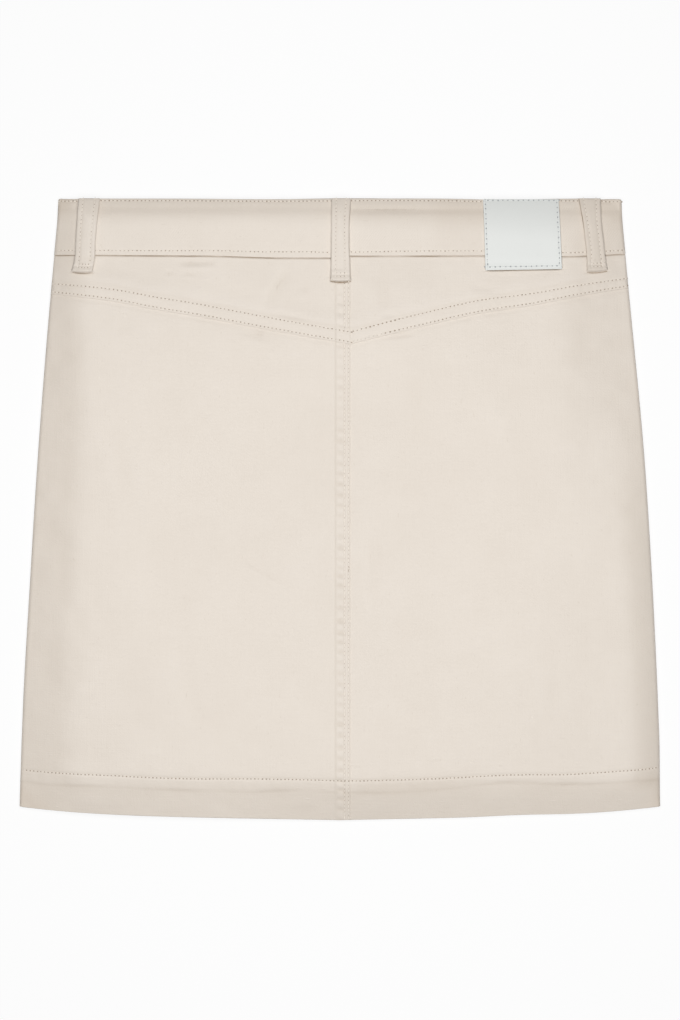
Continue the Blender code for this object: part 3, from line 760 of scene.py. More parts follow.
BACK_CREASES = [
    # Two long soft ones from lying folded, then short ones below the yoke.
    (-0.0787, -0.0307, -0.0272, -0.06, 0.0015, 0.00032, 0.001),
    (0.027, 0.0036, 0.0262, -0.1037, 0.0042, 0.0003, 0.0012),
    (-0.076, 0.129, -0.044, 0.1225, 0.0034, 0.0004, 0.0004),
    (0.0315, 0.1236, 0.059, 0.1268, 0.002, 0.00042, 0.0004),
    # In the yoke, drawn by the waistband's seam.
    (-0.0318, 0.179, -0.054, 0.14, 0.0034, 0.0005, 0.0016),
    (-0.029, 0.161, -0.0205, 0.157, 0.0036, 0.00034, 0.0),
    (0.029, 0.174, 0.033, 0.138, 0.0052, 0.00036, 0.0),
    (0.028, 0.1393, 0.042, 0.14, 0.0022, 0.0003, 0.0),
    (-0.12, 0.1775, -0.085, 0.1782, 0.0024, 0.00055, 0.0004),
    (-0.113, 0.1705, -0.102, 0.169, 0.0018, 0.00026, 0.0),
    (-0.125, 0.1715, -0.118, 0.169, 0.0018, 0.00026, 0.0),
    (0.09, 0.1605, 0.118, 0.1575, 0.0032, 0.00032, 0.0005),
    (-0.052, 0.1418, -0.018, 0.1352, 0.0022, 0.0003, 0.0),
    # Faint ones over the panels.
    (-0.16, 0.07, -0.145, -0.02, 0.006, 0.00024, 0.003),
    (0.115, 0.095, 0.14, -0.01, 0.0065, 0.00026, -0.003),
    (0.15, -0.07, 0.158, -0.16, 0.0055, 0.00022, 0.002),
    (-0.115, -0.09, -0.095, -0.165, 0.006, 0.00022, 0.002),
]


def back_relief(x, y):
    """What all four back pieces share: small unevenness, more of it at the sides, and creases."""
    from_left, from_right = half_width(y, -1) + x, half_width(y, 1) - x
    left_band = between(from_left, 0.05, 0.03)
    right_band = between(from_right, 0.07, 0.045) * between(y, -0.03, 0.07)
    small = mix(*SMALL_BUMPS, np.maximum(left_band, right_band)) * unevenness(x, y, 0.011, 3)
    broad = BROAD_BUMPS * unevenness(x, y, 0.029, 4)
    return small + broad + FINE_BUMPS * unevenness(x, y, 0.0046, 5) + creased(x, y, BACK_CREASES)


def thinned(inside):
    """Share of its thickness that a felled edge keeps: less at the edge, where it is pressed."""
    return mix(THINNED, 1.0, between(inside, 0, THINNED_REACH))


def puckered(run, off, puckers):
    """Dips across a sewn strip, at about each pitch along it, uneven in place and depth. A higher
    sharp makes them narrower."""
    place, pitch, width, depth, seed, sharp = puckers
    drift = 0.28 * pitch * unevenness(run, 0 * run, 2.3 * pitch, seed)
    strength = 0.72 + 0.42 * unevenness(run, 0 * run, 1.7 * pitch, seed + 1)
    trough = (0.5 - 0.5 * np.cos(2 * math.pi * (run + drift) / pitch)) ** sharp
    return -2 * depth * strength * (trough - 0.4) * bell(off - place, width)


def centre_puckers(x, y):
    """Puckers between the felled strip's edge and its stitches, stronger in the lower part and weak
    where the hem's row crosses them."""
    lower = mix(0.65, 1.0, between(y, 0.1, -0.06))
    lower = lower * (1 - 0.6 * bell(y - hem_line(x) - hem_row(x), 0.005))
    return lower * puckered(y + PUCKER_SLANT * x, x - CENTRE_SEAM, CENTRE_PUCKERS)


def centre_seam_relief(x, y):
    """The felled strip: a groove for each row of stitches, and puckers beside them."""
    grooves = sum(bell(x - CENTRE_SEAM + off, CENTRE_GROOVE) for off in CENTRE_ROWS)
    return centre_puckers(x, y) - CENTRE_GROOVE_DEPTH * grooves


def pucker_shade(x, y):
    """Painted shade in the puckers' dips."""
    return PUCKER_SHADE * np.clip(-centre_puckers(x, y) / SHADED_DIP, 0, 1)


def hem_row(x):
    return curve(HEM_ROWS, x)


def past_hem_fold(x, y):
    """How far below the hem's fold line a place is."""
    below_row = hem_line(x) + hem_row(x) - y
    return below_row - curve(HEM_FOLD, x) - HEM_FOLD_WANDER * unevenness(x, 0 * x, 0.015, 36)


def hem_fold_strength(x):
    return 0.75 + 0.45 * unevenness(x, 0 * x, 0.023, 37)


def hem_relief(x, y):
    above = y - hem_line(x) - hem_row(x)
    ripples = puckered(x, above, HEM_PUCKERS)
    past = past_hem_fold(x, y)
    fold = np.clip(1 + past / HEM_FOLD_ABOVE, 0, 1) ** 3 * (1 - ease(past / HEM_FOLD_BELOW))
    fold = curve(HEM_FOLD_DEPTHS, x) * fold * hem_fold_strength(x)
    return ripples - ROW_DEPTH * bell(above, ROW_GROOVE) - fold


def hem_fold_shade(x, y):
    """Painted shade along the hem's fold line, and more widely near the middle and at the right end."""
    past = past_hem_fold(x, y)
    line = hem_fold_strength(x) * bell(past, 0.0011)
    at_end = between(x, 0.185, 0.225) * bell(past, HEM_SHADE_WIDTH)
    by_middle = between(x, 0.008, 0.02) * between(x, 0.12, 0.07) * bell(past + 0.004, HEM_SHADE_WIDTH)
    return HEM_SHADE[0] * line + HEM_SHADE[1] * at_end + HEM_SHADE[2] * by_middle


def panel_relief(x, y, side):
    below_yoke = BELOW_YOKE_DEPTH * bell(y - yoke_line(x) + BELOW_YOKE, BELOW_YOKE_WIDTH)
    seam = centre_seam_relief(x, y) if side == "left" else 0
    return (back_relief(x, y) + hem_relief(x, y) - below_yoke + seam) * on_top(x, y)


def panel_base(x, y, side="right"):
    seam = FELL_HEIGHT * felled(x) if side == "left" else 0
    return back_height(x, y, panel_radius(y)) + seam


def panel_face(x, y):
    left = panel_base(x, y, "left") + panel_relief(x, y, "left")
    right = panel_base(x, y, "right") + panel_relief(x, y, "right")
    return np.where(x < CENTRE_SEAM, left, right)


def panel_top(x):
    """The panels' upper edge, tucked in under the yoke."""
    return yoke_line(x) + UNDERLAP


back_denim = denim("back_denim")
panel_rows = steps(rolled_edge, (0.032, 0.0008), (0.302, 0.0013), (0.006, 0.0008), rolled_edge)
beside_fold = (0.006, 0.001)
left_shares = steps(beside_fold, (0.19, 0.0018), (0.016, 0.0005), rolled_edge)
right_shares = steps(beside_fold, (0.19, 0.0018), (0.004, 0.001), rolled_edge)
for side, sign, middle, shares in (
    ("left", -1, CENTRE_SEAM, left_shares),
    ("right", 1, CENTRE_SEAM - UNDERLAP, right_shares),
):
    x, y = lay(half_columns(sign, middle, shares), panel_rows, hem_line, panel_top, panel_radius)
    plies = hem_plies(y - hem_line(x))
    # Painted shade at the corners and along the hem's fold, and on the left in the centre seam's
    # puckers.
    shade_marks = corner_shade(x, y) + hem_fold_shade(x, y)
    if side == "left":
        plies = plies * thinned(CENTRE_SEAM - x)
        shade_marks = shade_marks + pucker_shade(x, y)
    shape = (x, y, panel_base(x, y, side), panel_relief(x, y, side), plies)
    panel = cloth(f"back_{side}_cloth", *shape, back_denim, handled=shade_marks)
    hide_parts(f"back_panel_{side}")
    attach(panel, "root")


def centre_rows(face, low, high, count):
    """The centre seam's two rows of stitches between two heights."""
    y = np.linspace(low, high, count)
    return [on_face(face, 0 * y + CENTRE_SEAM - off, y) for off in CENTRE_ROWS]


hem_x = np.linspace(-HEM_HALF + BACK_ROW_END, HEM_HALF - BACK_ROW_END, 500)
hem_sewing = on_face(panel_face, hem_x, hem_line(hem_x) + hem_row(hem_x))
sew("hem", [hem_sewing], 41, pitch=0.0027, hole=0.00104)
seam_top = yoke_line_left(CENTRE_SEAM) - 0.0012
seam_lines = centre_rows(panel_face, HEM_CENTRE + 0.0015, seam_top, 400)
sew("centre_seam", seam_lines, 43, hole=0.00042)
knot_y = np.linspace(-0.046, -0.0426, 8)  # where the thread was joined
knot_x = CENTRE_SEAM - CENTRE_ROWS[0] + 0.05 * (knot_y - knot_y[0])
sew("knot", [on_face(panel_face, knot_x, knot_y)], 47, pitch=0.0012, hole=0.0018)

# ---- Back yoke ----
# Two pieces that point down at the centre back. Their lower edge is felled over the panels, with two
# rows of stitches on a raised strip, and the waistband's seam draws small creases into them.

YOKE_SEAM_WIDTH = 0.009
YOKE_SEAM_SOFT, YOKE_SEAM_SOFTER = 0.004, 0.016  # the strip fades out over this, then over more
YOKE_SEAM_HEIGHT = 0.0008
YOKE_LOWER_ROW = 0.0018  # stitches up from the edge
YOKE_PUCKERS = (0.0052, 0.0066, 0.0026, 0.00013, 51, 2.0)
DRAWN_PUCKERS = (-0.0035, 0.0145, 0.003, 0.00012, 53, 1.0)  # drawn by the waistband's seam
ROWS_APART = [
    # How far apart the seam's two rows of stitches are, from left to right.
    (-0.208, 0.0058), (-0.16, 0.0069), (0.0, 0.0071), (0.09, 0.0078), (0.145, 0.0067), (0.208, 0.0054),
]


def upper_row(x):
    """Height of the upper row above the yoke's edge."""
    return YOKE_LOWER_ROW + curve(ROWS_APART, x)


# What stands on the yoke presses a crevice into it along its lower edge: the edge's two ends, each with
# its drop from the waist edge, how far its middle hangs below them, and how much painted shadow
# darkens the crevice.
Foot = namedtuple("Foot", "left left_drop right right_drop hang soiled")
FEET = [
    Foot(-0.1932, 0.0533, -0.177, 0.0538, 0.0009, 0.9),
    Foot(-0.0068, 0.0601, 0.0086, 0.0602, 0.0009, 1.3),
    Foot(0.1779, 0.0539, 0.1938, 0.0525, 0.0007, 3.0),
    Foot(0.105, 0.0527, 0.16, 0.0516, 0.0, 1.0),
]
FOOT_CREVICE, EDGE_CREVICE = 0.00055, 0.0007  # widths of the crevices below the feet and the waistband
CREVICE_DEPTH = 0.00065
BAND_SHADOW = 0.6  # how much painted shadow darkens the crevice below the waistband


def foot_crevice(foot, x, y):
    share = (x - foot.left) / (foot.right - foot.left)
    beside = between(share, -0.04, 0.06) * between(share, 1.04, 0.94)
    drop = mix(foot.left_drop, foot.right_drop, share) + foot.hang * (1 - (2 * share - 1) ** 2)
    return beside * bell(y - WAIST_TOP + drop, FOOT_CREVICE)


BAND_CREVICE = [
    # How strong the crevice under the waistband's edge is, from left to right.
    (-0.204, 0.65), (-0.185, 0.8), (-0.14, 0.98), (-0.11, 1.08), (-0.082, 1.18), (-0.053, 1.03),
    (-0.024, 1.02), (0.012, 1.08), (0.039, 0.78), (0.066, 1.02), (0.095, 0.98), (0.17, 0.98),
    (0.188, 1.05), (0.204, 1.22),
]


def band_crevice(x, y):
    return curve(BAND_CREVICE, x) * bell(y - band_line(x) + 0.0002, EDGE_CREVICE)


def yoke_bulk(above, soft):
    """Height of the seam's raised strip, which fades out upwards over the soft distance."""
    return YOKE_SEAM_HEIGHT * between(above, YOKE_SEAM_WIDTH + soft, YOKE_SEAM_WIDTH)


def yoke_base(x, y, seam):
    bulk = yoke_bulk(y - yoke_line(x), YOKE_SEAM_SOFT)
    return panel_base(x, y) + seam + bulk * on_top(x, y)


def yoke_relief(x, y):
    above = y - yoke_line(x)
    rows = bell(above - YOKE_LOWER_ROW, ROW_GROOVE) + 0.8 * bell(above - upper_row(x), ROW_GROOVE)
    strip = puckered(x, above, YOKE_PUCKERS)
    drawn = puckered(x, y - band_line(x), DRAWN_PUCKERS)
    softer = yoke_bulk(above, YOKE_SEAM_SOFTER) - yoke_bulk(above, YOKE_SEAM_SOFT)
    seam = np.where(x < CENTRE_SEAM, centre_seam_relief(x, y), 0) * between(above, 0.0095, 0.0115)
    dip = CREVICE_DEPTH * (band_crevice(x, y) + sum(foot_crevice(foot, x, y) for foot in FEET))
    relief = back_relief(x, y) + strip + drawn + softer + seam - ROW_DEPTH * rows - dip
    return relief * on_top(x, y)


# Painted shadow in the crevices below the waistband's edge and below the feet.
def yoke_painted_shadow(x, y):
    feet = sum(foot.soiled * foot_crevice(foot, x, y) for foot in FEET)
    return (BAND_SHADOW * band_crevice(x, y) + feet) * on_top(x, y)


def yoke_face(x, y):
    seam = np.where(x < CENTRE_SEAM, FELL_HEIGHT * felled(x), 0)
    return yoke_base(x, y, seam) + yoke_relief(x, y)


def yoke_top(x):
    """The yoke's upper edge, which runs up inside the waistband."""
    return band_line(x) + UNDERLAP


at_feet, at_band = (0.023, 0.0004), (0.004, 0.0003)  # closer together where something presses
yoke_steps = ((0.013, 0.0009), (0.012, 0.0012), at_feet, (0.007, 0.0012), at_band)
yoke_rows = steps(rolled_edge, *yoke_steps, rolled_edge)
for side, sign, middle, shares, line in (
    ("left", -1, CENTRE_SEAM, left_shares, yoke_line_left),
    ("right", 1, CENTRE_SEAM - UNDERLAP, right_shares, yoke_line_right),
):
    x, y = lay(half_columns(sign, middle, shares), yoke_rows, line, yoke_top, panel_radius)
    plies = PLY * thinned(y - line(x))
    if side == "left":
        plies = np.minimum(plies, PLY * thinned(CENTRE_SEAM - x))
    seam = FELL_HEIGHT * felled(x) if side == "left" else 0.0
    shape = (x, y, yoke_base(x, y, seam), yoke_relief(x, y), plies)
    marked = {"handled": corner_shade(x, y), "soiled": yoke_painted_shadow(x, y)}
    yoke = cloth(f"yoke_{side}_cloth", *shape, back_denim, **marked)
    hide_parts(f"back_yoke_{side}")
    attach(yoke, "root")


def along_yoke(start, stop, height_at):
    x = np.linspace(start, stop, 300)
    return on_face(yoke_face, x, yoke_line(x) + height_at(x))


def lower_row(x):
    return YOKE_LOWER_ROW + 0 * x


YOKE_ENDS = (-0.2062, 0.2062)
YOKE_TIGHT = (0.0205, 0.0415)  # here the machine pulled the thread deeper into the cloth
YOKE_LOOSE = 0.0315  # and the lower row is looser as far as this
LEFT_OF_SEAM, RIGHT_OF_SEAM = CENTRE_SEAM - 0.0006, CENTRE_SEAM + 0.0006
yoke_lines = [
    along_yoke(YOKE_ENDS[0], LEFT_OF_SEAM, lower_row),
    along_yoke(YOKE_ENDS[0], LEFT_OF_SEAM, upper_row),
    along_yoke(RIGHT_OF_SEAM, YOKE_TIGHT[0], upper_row),
    along_yoke(YOKE_TIGHT[1], YOKE_ENDS[1], upper_row),
    along_yoke(YOKE_TIGHT[1], YOKE_ENDS[1], lower_row),
]
sew("yoke", yoke_lines, 55)
tight_lines = [along_yoke(*YOKE_TIGHT, upper_row), along_yoke(YOKE_LOOSE, YOKE_TIGHT[1], lower_row)]
sew("yoke_tight", tight_lines, 57, hole=0.00126)
seam_foot = yoke_line_left(CENTRE_SEAM) + 0.011
loose_lines = centre_rows(yoke_face, seam_foot, WAIST_TOP - 0.0635, 80)
loose_lines.append(along_yoke(RIGHT_OF_SEAM, YOKE_LOOSE, lower_row))
sew("yoke_loose", loose_lines, 59, hole=0.00048)

# ---- Waistband ----
# One straight strip of doubled denim, sewn all the way round, its ends meeting at the front. A row of
# stitches runs close to each edge, and a soft pressed line lies below the upper one.

WAIST_DIPS = ((-0.05, 0.045, 0.0005), (0.118, 0.03, 0.0009))  # each one's middle, width and depth
WAIST_END_DROPS = (0.0003, 0.0006)  # beyond the left loop and the right loop
BAND_MEETING = 0.018  # x where its ends meet at the front
BAND_TOP_ROW = 0.002  # below the top edge
BAND_FOOT_ROWS = [
    # Height of the lower row above the edge, from left to right.
    (-0.204, 0.0033), (-0.12, 0.0034), (-0.07, 0.0038), (-0.01, 0.0038), (0.008, 0.0027),
    (0.04, 0.0032), (0.1, 0.0033), (0.16, 0.0026), (0.204, 0.0026),
]
BAND_PRESSED = (0.0076, 0.0088)  # the pressed line below the top edge, left and right of the middle
BAND_PRESS_WIDTHS = (0.0032, 0.0026)
BAND_PRESS_SHADE_WIDTH = 0.0068
BAND_ROW_DEPTH = 0.00024
BAND_FOOT_PUCKERS = (0.0065, 0.0105, 0.004, 0.0001, 61, 1.0)  # up from its lower edge
BAND_TOP_PUCKERS = (0.005, 0.0062, 0.0026, 0.00012, 63, 1.0)  # down from its top edge
BAND_SMALL_BUMPS, BAND_BROAD_BUMPS = 0.00014, 0.00016
BAND_PRESSES = [
    # How deep it is, from left to right.
    (-0.204, 0.00042), (-0.14, 0.00044), (-0.09, 0.00042), (-0.02, 0.00036), (0.012, 0.0006),
    (0.04, 0.00072), (0.07, 0.00056), (0.1, 0.00042), (0.204, 0.00042),
]
BAND_GREYED = 0.22  # how much darker it is made near the patch and right of it
BAND_PRESS_SHADE = (0.06, 0.3)  # and painted shade along the pressed line, left and right of the middle
BAND_EDGE_PLY = 0.0007  # its folded edge where the yoke runs up inside
BAND_OPENED = (0.0022, 0.0042)  # above the edge: between these it thickens to two layers
BAND_ROLLS = (0.0005, 0.0011)  # how far its lower and its top edge round over
BAND_ROW_END = 0.0008
BAND_END_ROW = 0.003  # stitches in from its meeting ends


def band_radius(y):
    return FOLD_RADIUS + 0 * y


def band_on_top(x, y):
    return fold_rise(x, y, FOLD_RADIUS, BAND_OUTSET) / FOLD_RADIUS


def band_foot_row(x):
    return band_line(x) + curve(BAND_FOOT_ROWS, x)


def right_half(x):
    """1 right of the middle and 0 left of it."""
    return between(x, -0.005, 0.005)


def past_press(x, y):
    """How far above the pressed line a place is."""
    return y - WAIST_TOP + mix(*BAND_PRESSED, right_half(x))


# Painted shade at the corners and along the pressed line, and darker near the patch and right of it.
def band_painted_shade(x, y):
    greyed = BAND_GREYED * between(x, 0.06, 0.075)
    by_press = mix(*BAND_PRESS_SHADE, between(x, 0.006, 0.011)) * between(x, 0.15, 0.09)
    return corner_shade(x, y) + greyed + by_press * bell(past_press(x, y) + 0.0006, BAND_PRESS_SHADE_WIDTH)


def band_relief(x, y):
    rows = bell(waist_edge(x) - y - BAND_TOP_ROW, ROW_GROOVE)
    rows = rows + bell(y - band_foot_row(x), ROW_GROOVE)
    press_width = mix(*BAND_PRESS_WIDTHS, right_half(x))
    pressed = curve(BAND_PRESSES, x) * bell(past_press(x, y), press_width)
    ripples = puckered(x, y - band_line(x), BAND_FOOT_PUCKERS)
    ripples = ripples + puckered(x, WAIST_TOP - y, BAND_TOP_PUCKERS)
    bumps = BAND_SMALL_BUMPS * unevenness(x, y, 0.013, 6) + BAND_BROAD_BUMPS * unevenness(x, y, 0.03, 7)
    return (bumps + ripples - BAND_ROW_DEPTH * rows - pressed) * band_on_top(x, y)


def band_base(x, y):
    return back_height(x, y, FOLD_RADIUS, BAND_OUTSET)


def band_face(x, y):
    return band_base(x, y) + band_relief(x, y)


def band_front_base(x, y):
    return front_height(x, y, FOLD_RADIUS, BAND_OUTSET)


def band_front_face(x, y):
    return band_front_base(x, y) + np.abs(band_relief(x, y))


def waist_edge(x):
    """The top edge, which dips between the loops and beyond the outer ones."""
    dips = sum(depth * bell(x - middle, width) for middle, width, depth in WAIST_DIPS)
    ends = np.where(x < 0, *WAIST_END_DROPS) * between(np.abs(x), 0.1865, 0.1895)
    return WAIST_TOP - dips - ends


band_denim = denim("band_denim", turned=math.pi / 2, tone=1.012)
band_rows = steps(rolled_edge, (0.0408, 0.0011), rolled_edge)
to_meeting = steps((0.182, 0.004), rolled_edge)
to_middle = steps((0.2, 0.0015))
under_left = half_columns(-1, BAND_MEETING - SEAM_GAP / 2, to_meeting)[:, ::-1]
over_left = half_columns(-1, 0.0, to_middle)
over_right = half_columns(1, 0.0, to_middle)[:, 1:]
under_right = half_columns(1, BAND_MEETING + SEAM_GAP / 2, to_meeting)[:, ::-1]
left_seam, right_seam = (np.array([[side], [0.0], [0.0], [0.0]]) for side in (-1.0, 1.0))
band_columns = np.hstack([under_left, left_seam, over_left, over_right, right_seam, under_right])
first_over = under_left.shape[1] + 1
is_over = np.zeros(band_columns.shape[1], bool)
is_over[first_over : first_over + over_left.shape[1] + over_right.shape[1]] = True
x, y = lay(band_columns, band_rows, band_line, waist_edge, band_radius, BAND_OUTSET)
band_plies = mix(BAND_EDGE_PLY, 2 * PLY, between(y - band_line(x), *BAND_OPENED))
band_roll = mix(*BAND_ROLLS, between(y - WAIST_TOP, -0.008, -0.002))
base = np.where(is_over, band_base(x, y), band_front_base(x, y))
relief = np.where(is_over, band_relief(x, y), np.abs(band_relief(x, y)))
greyed = np.where(is_over, band_painted_shade(x, y), 0)
shape = (x, y, base, relief, band_plies)
band = cloth("waistband_cloth", *shape, band_denim, roll=band_roll, handled=greyed)
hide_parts("waistband")
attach(band, "root")
band_x = np.linspace(-WAIST_HALF + BAND_ROW_END, WAIST_HALF - BAND_ROW_END, 500)
front_band_x = [
    np.linspace(-WAIST_HALF + FRONT_ROW_END, BAND_MEETING - BAND_END_ROW, 300),
    np.linspace(BAND_MEETING + BAND_END_ROW, WAIST_HALF - FRONT_ROW_END, 300),
]


def band_rounds(row_y):
    """A row of stitches all the way round the waistband."""
    fronts = [on_face(band_front_face, x, row_y(x), looks_up=False) for x in front_band_x]
    return [on_face(band_face, band_x, row_y(band_x)), *fronts]


band_lines = band_rounds(lambda x: waist_edge(x) - BAND_TOP_ROW)
for end in (BAND_MEETING - BAND_END_ROW, BAND_MEETING + BAND_END_ROW):
    end_y = np.linspace(band_foot_row(end), WAIST_TOP - BAND_TOP_ROW, 60)
    band_lines.append(on_face(band_front_face, 0 * end_y + end, end_y, looks_up=False))
sew("waistband", band_lines, 65, hole=0.00112)
sew("waistband_foot", band_rounds(band_foot_row), 67, hole=0.00088, vary=0.25)

# ---- Belt loops ----
# Three strips folded to three layers and pressed, with a row of stitches along each side. Each comes
# out of the waist edge, lies over the waistband and is turned under and bar-tacked on the yoke.

BeltLoop = namedtuple("BeltLoop", "number side length slant over_seam soiled handled left right")
# Each loop has a painted shadow along its left and right sides, and an even painted shade.
BELT_LOOPS = [
    # The left and right edges run from the top to the foot.
    BeltLoop(
        0, "left", 0.0541, -0.0004, 0.0, (0.2, 1.1), 0.0,
        left=[(0.0, -0.1878), (0.25, -0.1888), (0.65, -0.1901), (0.8, -0.1905), (1.0, -0.193)],
        right=[(0.0, -0.1724), (0.3, -0.174), (0.6, -0.1754), (0.8, -0.1758), (1.0, -0.1774)],
    ),
    BeltLoop(
        1, "centre", 0.0605, 0.0, FELL_HEIGHT, (0.2, 1.3), 0.0,
        left=[(0.0, -0.0057), (0.5, -0.0061), (0.8, -0.0062), (1.0, -0.0067)],
        right=[(0.0, 0.0083), (0.2, 0.0074), (0.7, 0.0073), (1.0, 0.0081)],
    ),
    BeltLoop(
        2, "right", 0.0532, 0.0014, 0.0, (2.0, 0.5), 0.35,
        left=[(0.0, 0.1721), (0.5, 0.1763), (0.77, 0.1778), (1.0, 0.178)],
        right=[(0.0, 0.188), (0.33, 0.1886), (0.58, 0.1902), (0.8, 0.1914), (1.0, 0.1933)],
    ),
]
LOOP_THICK, LOOP_SLACK = 0.0016, 0.0006
LOOP_TOP_LIFT = 0.0007  # it stands off the waistband where it comes out of the waist seam
LOOP_FOOT_LIFT = 0.0008  # and its turned-under foot stands off the yoke
LOOP_DROP = 0.007
LOOP_ARCH = 0.0003  # it is this much higher along its middle
LOOP_TURNED_UNDER = 0.0006  # and this much thicker at its foot
LOOP_CORNERS = 0.0007  # the foot's corners are rounded this much
LOOP_BUMPS = 0.00014
LOOP_SHADOW_WIDTH = 0.0006
LOOP_ROW = 0.0034  # stitches in from each side
LOOP_TACK = 0.0048  # bar tack up from the foot
LOOP_TACK_WIDTH, LOOP_TACK_DEPTH = 0.0013, 0.0003
LOOP_TACK_ROWS = (-0.0012, 0.0012)


def over_band(x, y, drop):
    """Height that a loop or patch lies on: the waistband, then down to the yoke over drop."""
    return mix(panel_base(x, y), band_base(x, y), between(y - band_line(x), -drop, 0))


def loop_down(loop, y):
    return np.clip((WAIST_TOP - y) / loop.length, 0, 1)


def loop_edges(loop, down):
    """x of a loop's two edges, a share of the way down from its top."""
    return curve(loop.left, down), curve(loop.right, down)


def loop_place(loop, across, down):
    """x and y on a loop. Its foot is slanted and a little rounded."""
    foot = loop.slant * (across - 0.5) + LOOP_CORNERS * (2 * across - 1) ** 2
    return mix(*loop_edges(loop, down), across), WAIST_TOP - loop.length * down + foot * down**6


def loop_base(loop, x, y):
    down = loop_down(loop, y)
    lift = LOOP_SLACK * np.sin(math.pi * down) + LOOP_TOP_LIFT * between(down, 0.4, 0.0)
    lift = lift + LOOP_FOOT_LIFT * between(down, 0.9, 1.0)
    seam = loop.over_seam * between(band_line(x) - y, 0, LOOP_DROP)
    return over_band(x, y, LOOP_DROP) + seam + SEAM_GAP + lift + LOOP_THICK


def loop_relief(loop, x, y):
    left, right = loop_edges(loop, loop_down(loop, y))
    above_foot = y - WAIST_TOP + loop.length
    arch = LOOP_ARCH * (1 - (2 * (x - left) / (right - left) - 1) ** 2)
    turned_under = LOOP_TURNED_UNDER * between(above_foot, 0.009, 0.006)
    rough = LOOP_BUMPS * unevenness(x, y, 0.006, 70 + loop.number)
    grooves = ROW_DEPTH * bell(np.minimum(x - left, right - x) - LOOP_ROW, ROW_GROOVE)
    tack = LOOP_TACK_DEPTH * bell(above_foot - LOOP_TACK, LOOP_TACK_WIDTH)
    return arch + turned_under + rough - grooves - tack


def loop_painted_shadow(loop, x, y):
    """Painted shadow along its two sides, less in its lower part."""
    down = loop_down(loop, y)
    left, right = loop_edges(loop, down)
    at_left, at_right = bell(x - left, LOOP_SHADOW_WIDTH), bell(right - x, LOOP_SHADOW_WIDTH)
    sides = loop.soiled[0] * at_left + loop.soiled[1] * at_right
    return sides * (1 - 0.35 * between(down, 0.3, 0.5))


loop_denim = denim("loop_denim", tone=0.985)
loop_rows = steps(rolled_edge, (0.044, 0.001), (0.011, 0.0006), rolled_edge)[::-1, None]
loop_columns = steps((0.001, 0.0002), (0.0122, 0.0006), (0.001, 0.0002))[None, :]
tack_across = np.linspace(0.25, 0.8, 40)
for loop in BELT_LOOPS:
    x, y = loop_place(loop, loop_columns, loop_rows)
    shape = (x, y, loop_base(loop, x, y), loop_relief(loop, x, y), LOOP_THICK)
    marked = {"handled": loop.handled, "soiled": loop_painted_shadow(loop, x, y)}
    belt_loop = cloth(f"loop_{loop.side}_cloth", *shape, loop_denim, roll=0.001, **marked)
    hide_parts(f"belt_loop_{loop.side}")
    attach(belt_loop, "root")
    left, right = loop_edges(loop, loop_rows)

    def loop_face(x, y):
        return loop_base(loop, x, y) + loop_relief(loop, x, y)

    down = np.linspace(0.012, 1 - LOOP_TACK / loop.length, 120)
    left, right = loop_edges(loop, down)
    down_y = WAIST_TOP - loop.length * down
    loop_lines = [on_face(loop_face, x, down_y) for x in (left + LOOP_ROW, right - LOOP_ROW)]
    sew(f"loop_{loop.side}", loop_lines, 75 + 2 * loop.number, hole=0.00058, vary=0.3)
    tack_downs = [1 - (LOOP_TACK + off) / loop.length + 0 * tack_across for off in LOOP_TACK_ROWS]
    tack_lines = [on_face(loop_face, *loop_place(loop, tack_across, down)) for down in tack_downs]
    sew(f"tack_{loop.side}", tack_lines, 85 + 2 * loop.number, pitch=0.0021, hole=0.00072)

# ---- Leather patch ----
# A plain piece of pale coated leather over the waistband's lower edge, sewn on all round in longer
# stitches of grey thread. Nothing is printed or pressed on it.

PATCH_TOP = (0.1033, 0.1578)  # x of its sides at the top, and at the foot
PATCH_FOOT = (0.1048, 0.1599)
PATCH_START = 0.0008
PATCH_LENGTH = 0.0509  # at its right side
PATCH_SLANT = 0.0009  # the left side is this much longer
PATCH_THICK = 0.0012
PATCH_DROP = 0.013
PATCH_FOOT_LIFT = 0.0005  # its lower edge stands off the yoke
PATCH_ROW = 0.0016  # stitches in from its sides
PATCH_BUMPS, PATCH_GROOVE, PATCH_GROOVE_DEPTH = 0.0001, 0.0008, 0.00016
PATCH_WIDTH = 0.0547
PATCH_TOP_ROW, PATCH_FOOT_ROW = 0.0011, 0.0024
PATCH_PITCH = 0.00355


def patch_sides(down):
    return mix(PATCH_TOP[0], PATCH_FOOT[0], down), mix(PATCH_TOP[1], PATCH_FOOT[1], down)


def patch_place(across, down):
    length = PATCH_LENGTH + PATCH_SLANT * (1 - across)
    return mix(*patch_sides(down), across), WAIST_TOP - PATCH_START - length * down


def patch_base(x, y):
    down = (WAIST_TOP - PATCH_START - y) / PATCH_LENGTH
    lifted = PATCH_FOOT_LIFT * between(down, 0.9, 1.0)
    return over_band(x, y, PATCH_DROP) + SEAM_GAP + PATCH_THICK + lifted


def patch_relief(x, y):
    fallen = WAIST_TOP - PATCH_START - y
    left, right = patch_sides(fallen / PATCH_LENGTH)
    length = PATCH_LENGTH + PATCH_SLANT * (right - x) / (right - left)
    inside = np.minimum(np.minimum(x - left, right - x), np.minimum(fallen, length - fallen))
    groove = PATCH_GROOVE_DEPTH * bell(inside - PATCH_ROW, PATCH_GROOVE)
    return PATCH_BUMPS * unevenness(x, y, 0.016, 91) - groove


def patch_face(x, y):
    return patch_base(x, y) + patch_relief(x, y)


leather = flat_finish("leather", (0.668, 0.68, 0.66), 0.55, 0.0007, 0.025)
grey_thread = flat_finish("grey_thread", (0.66, 0.68, 0.66), 0.75, 0.0004, 0.08)
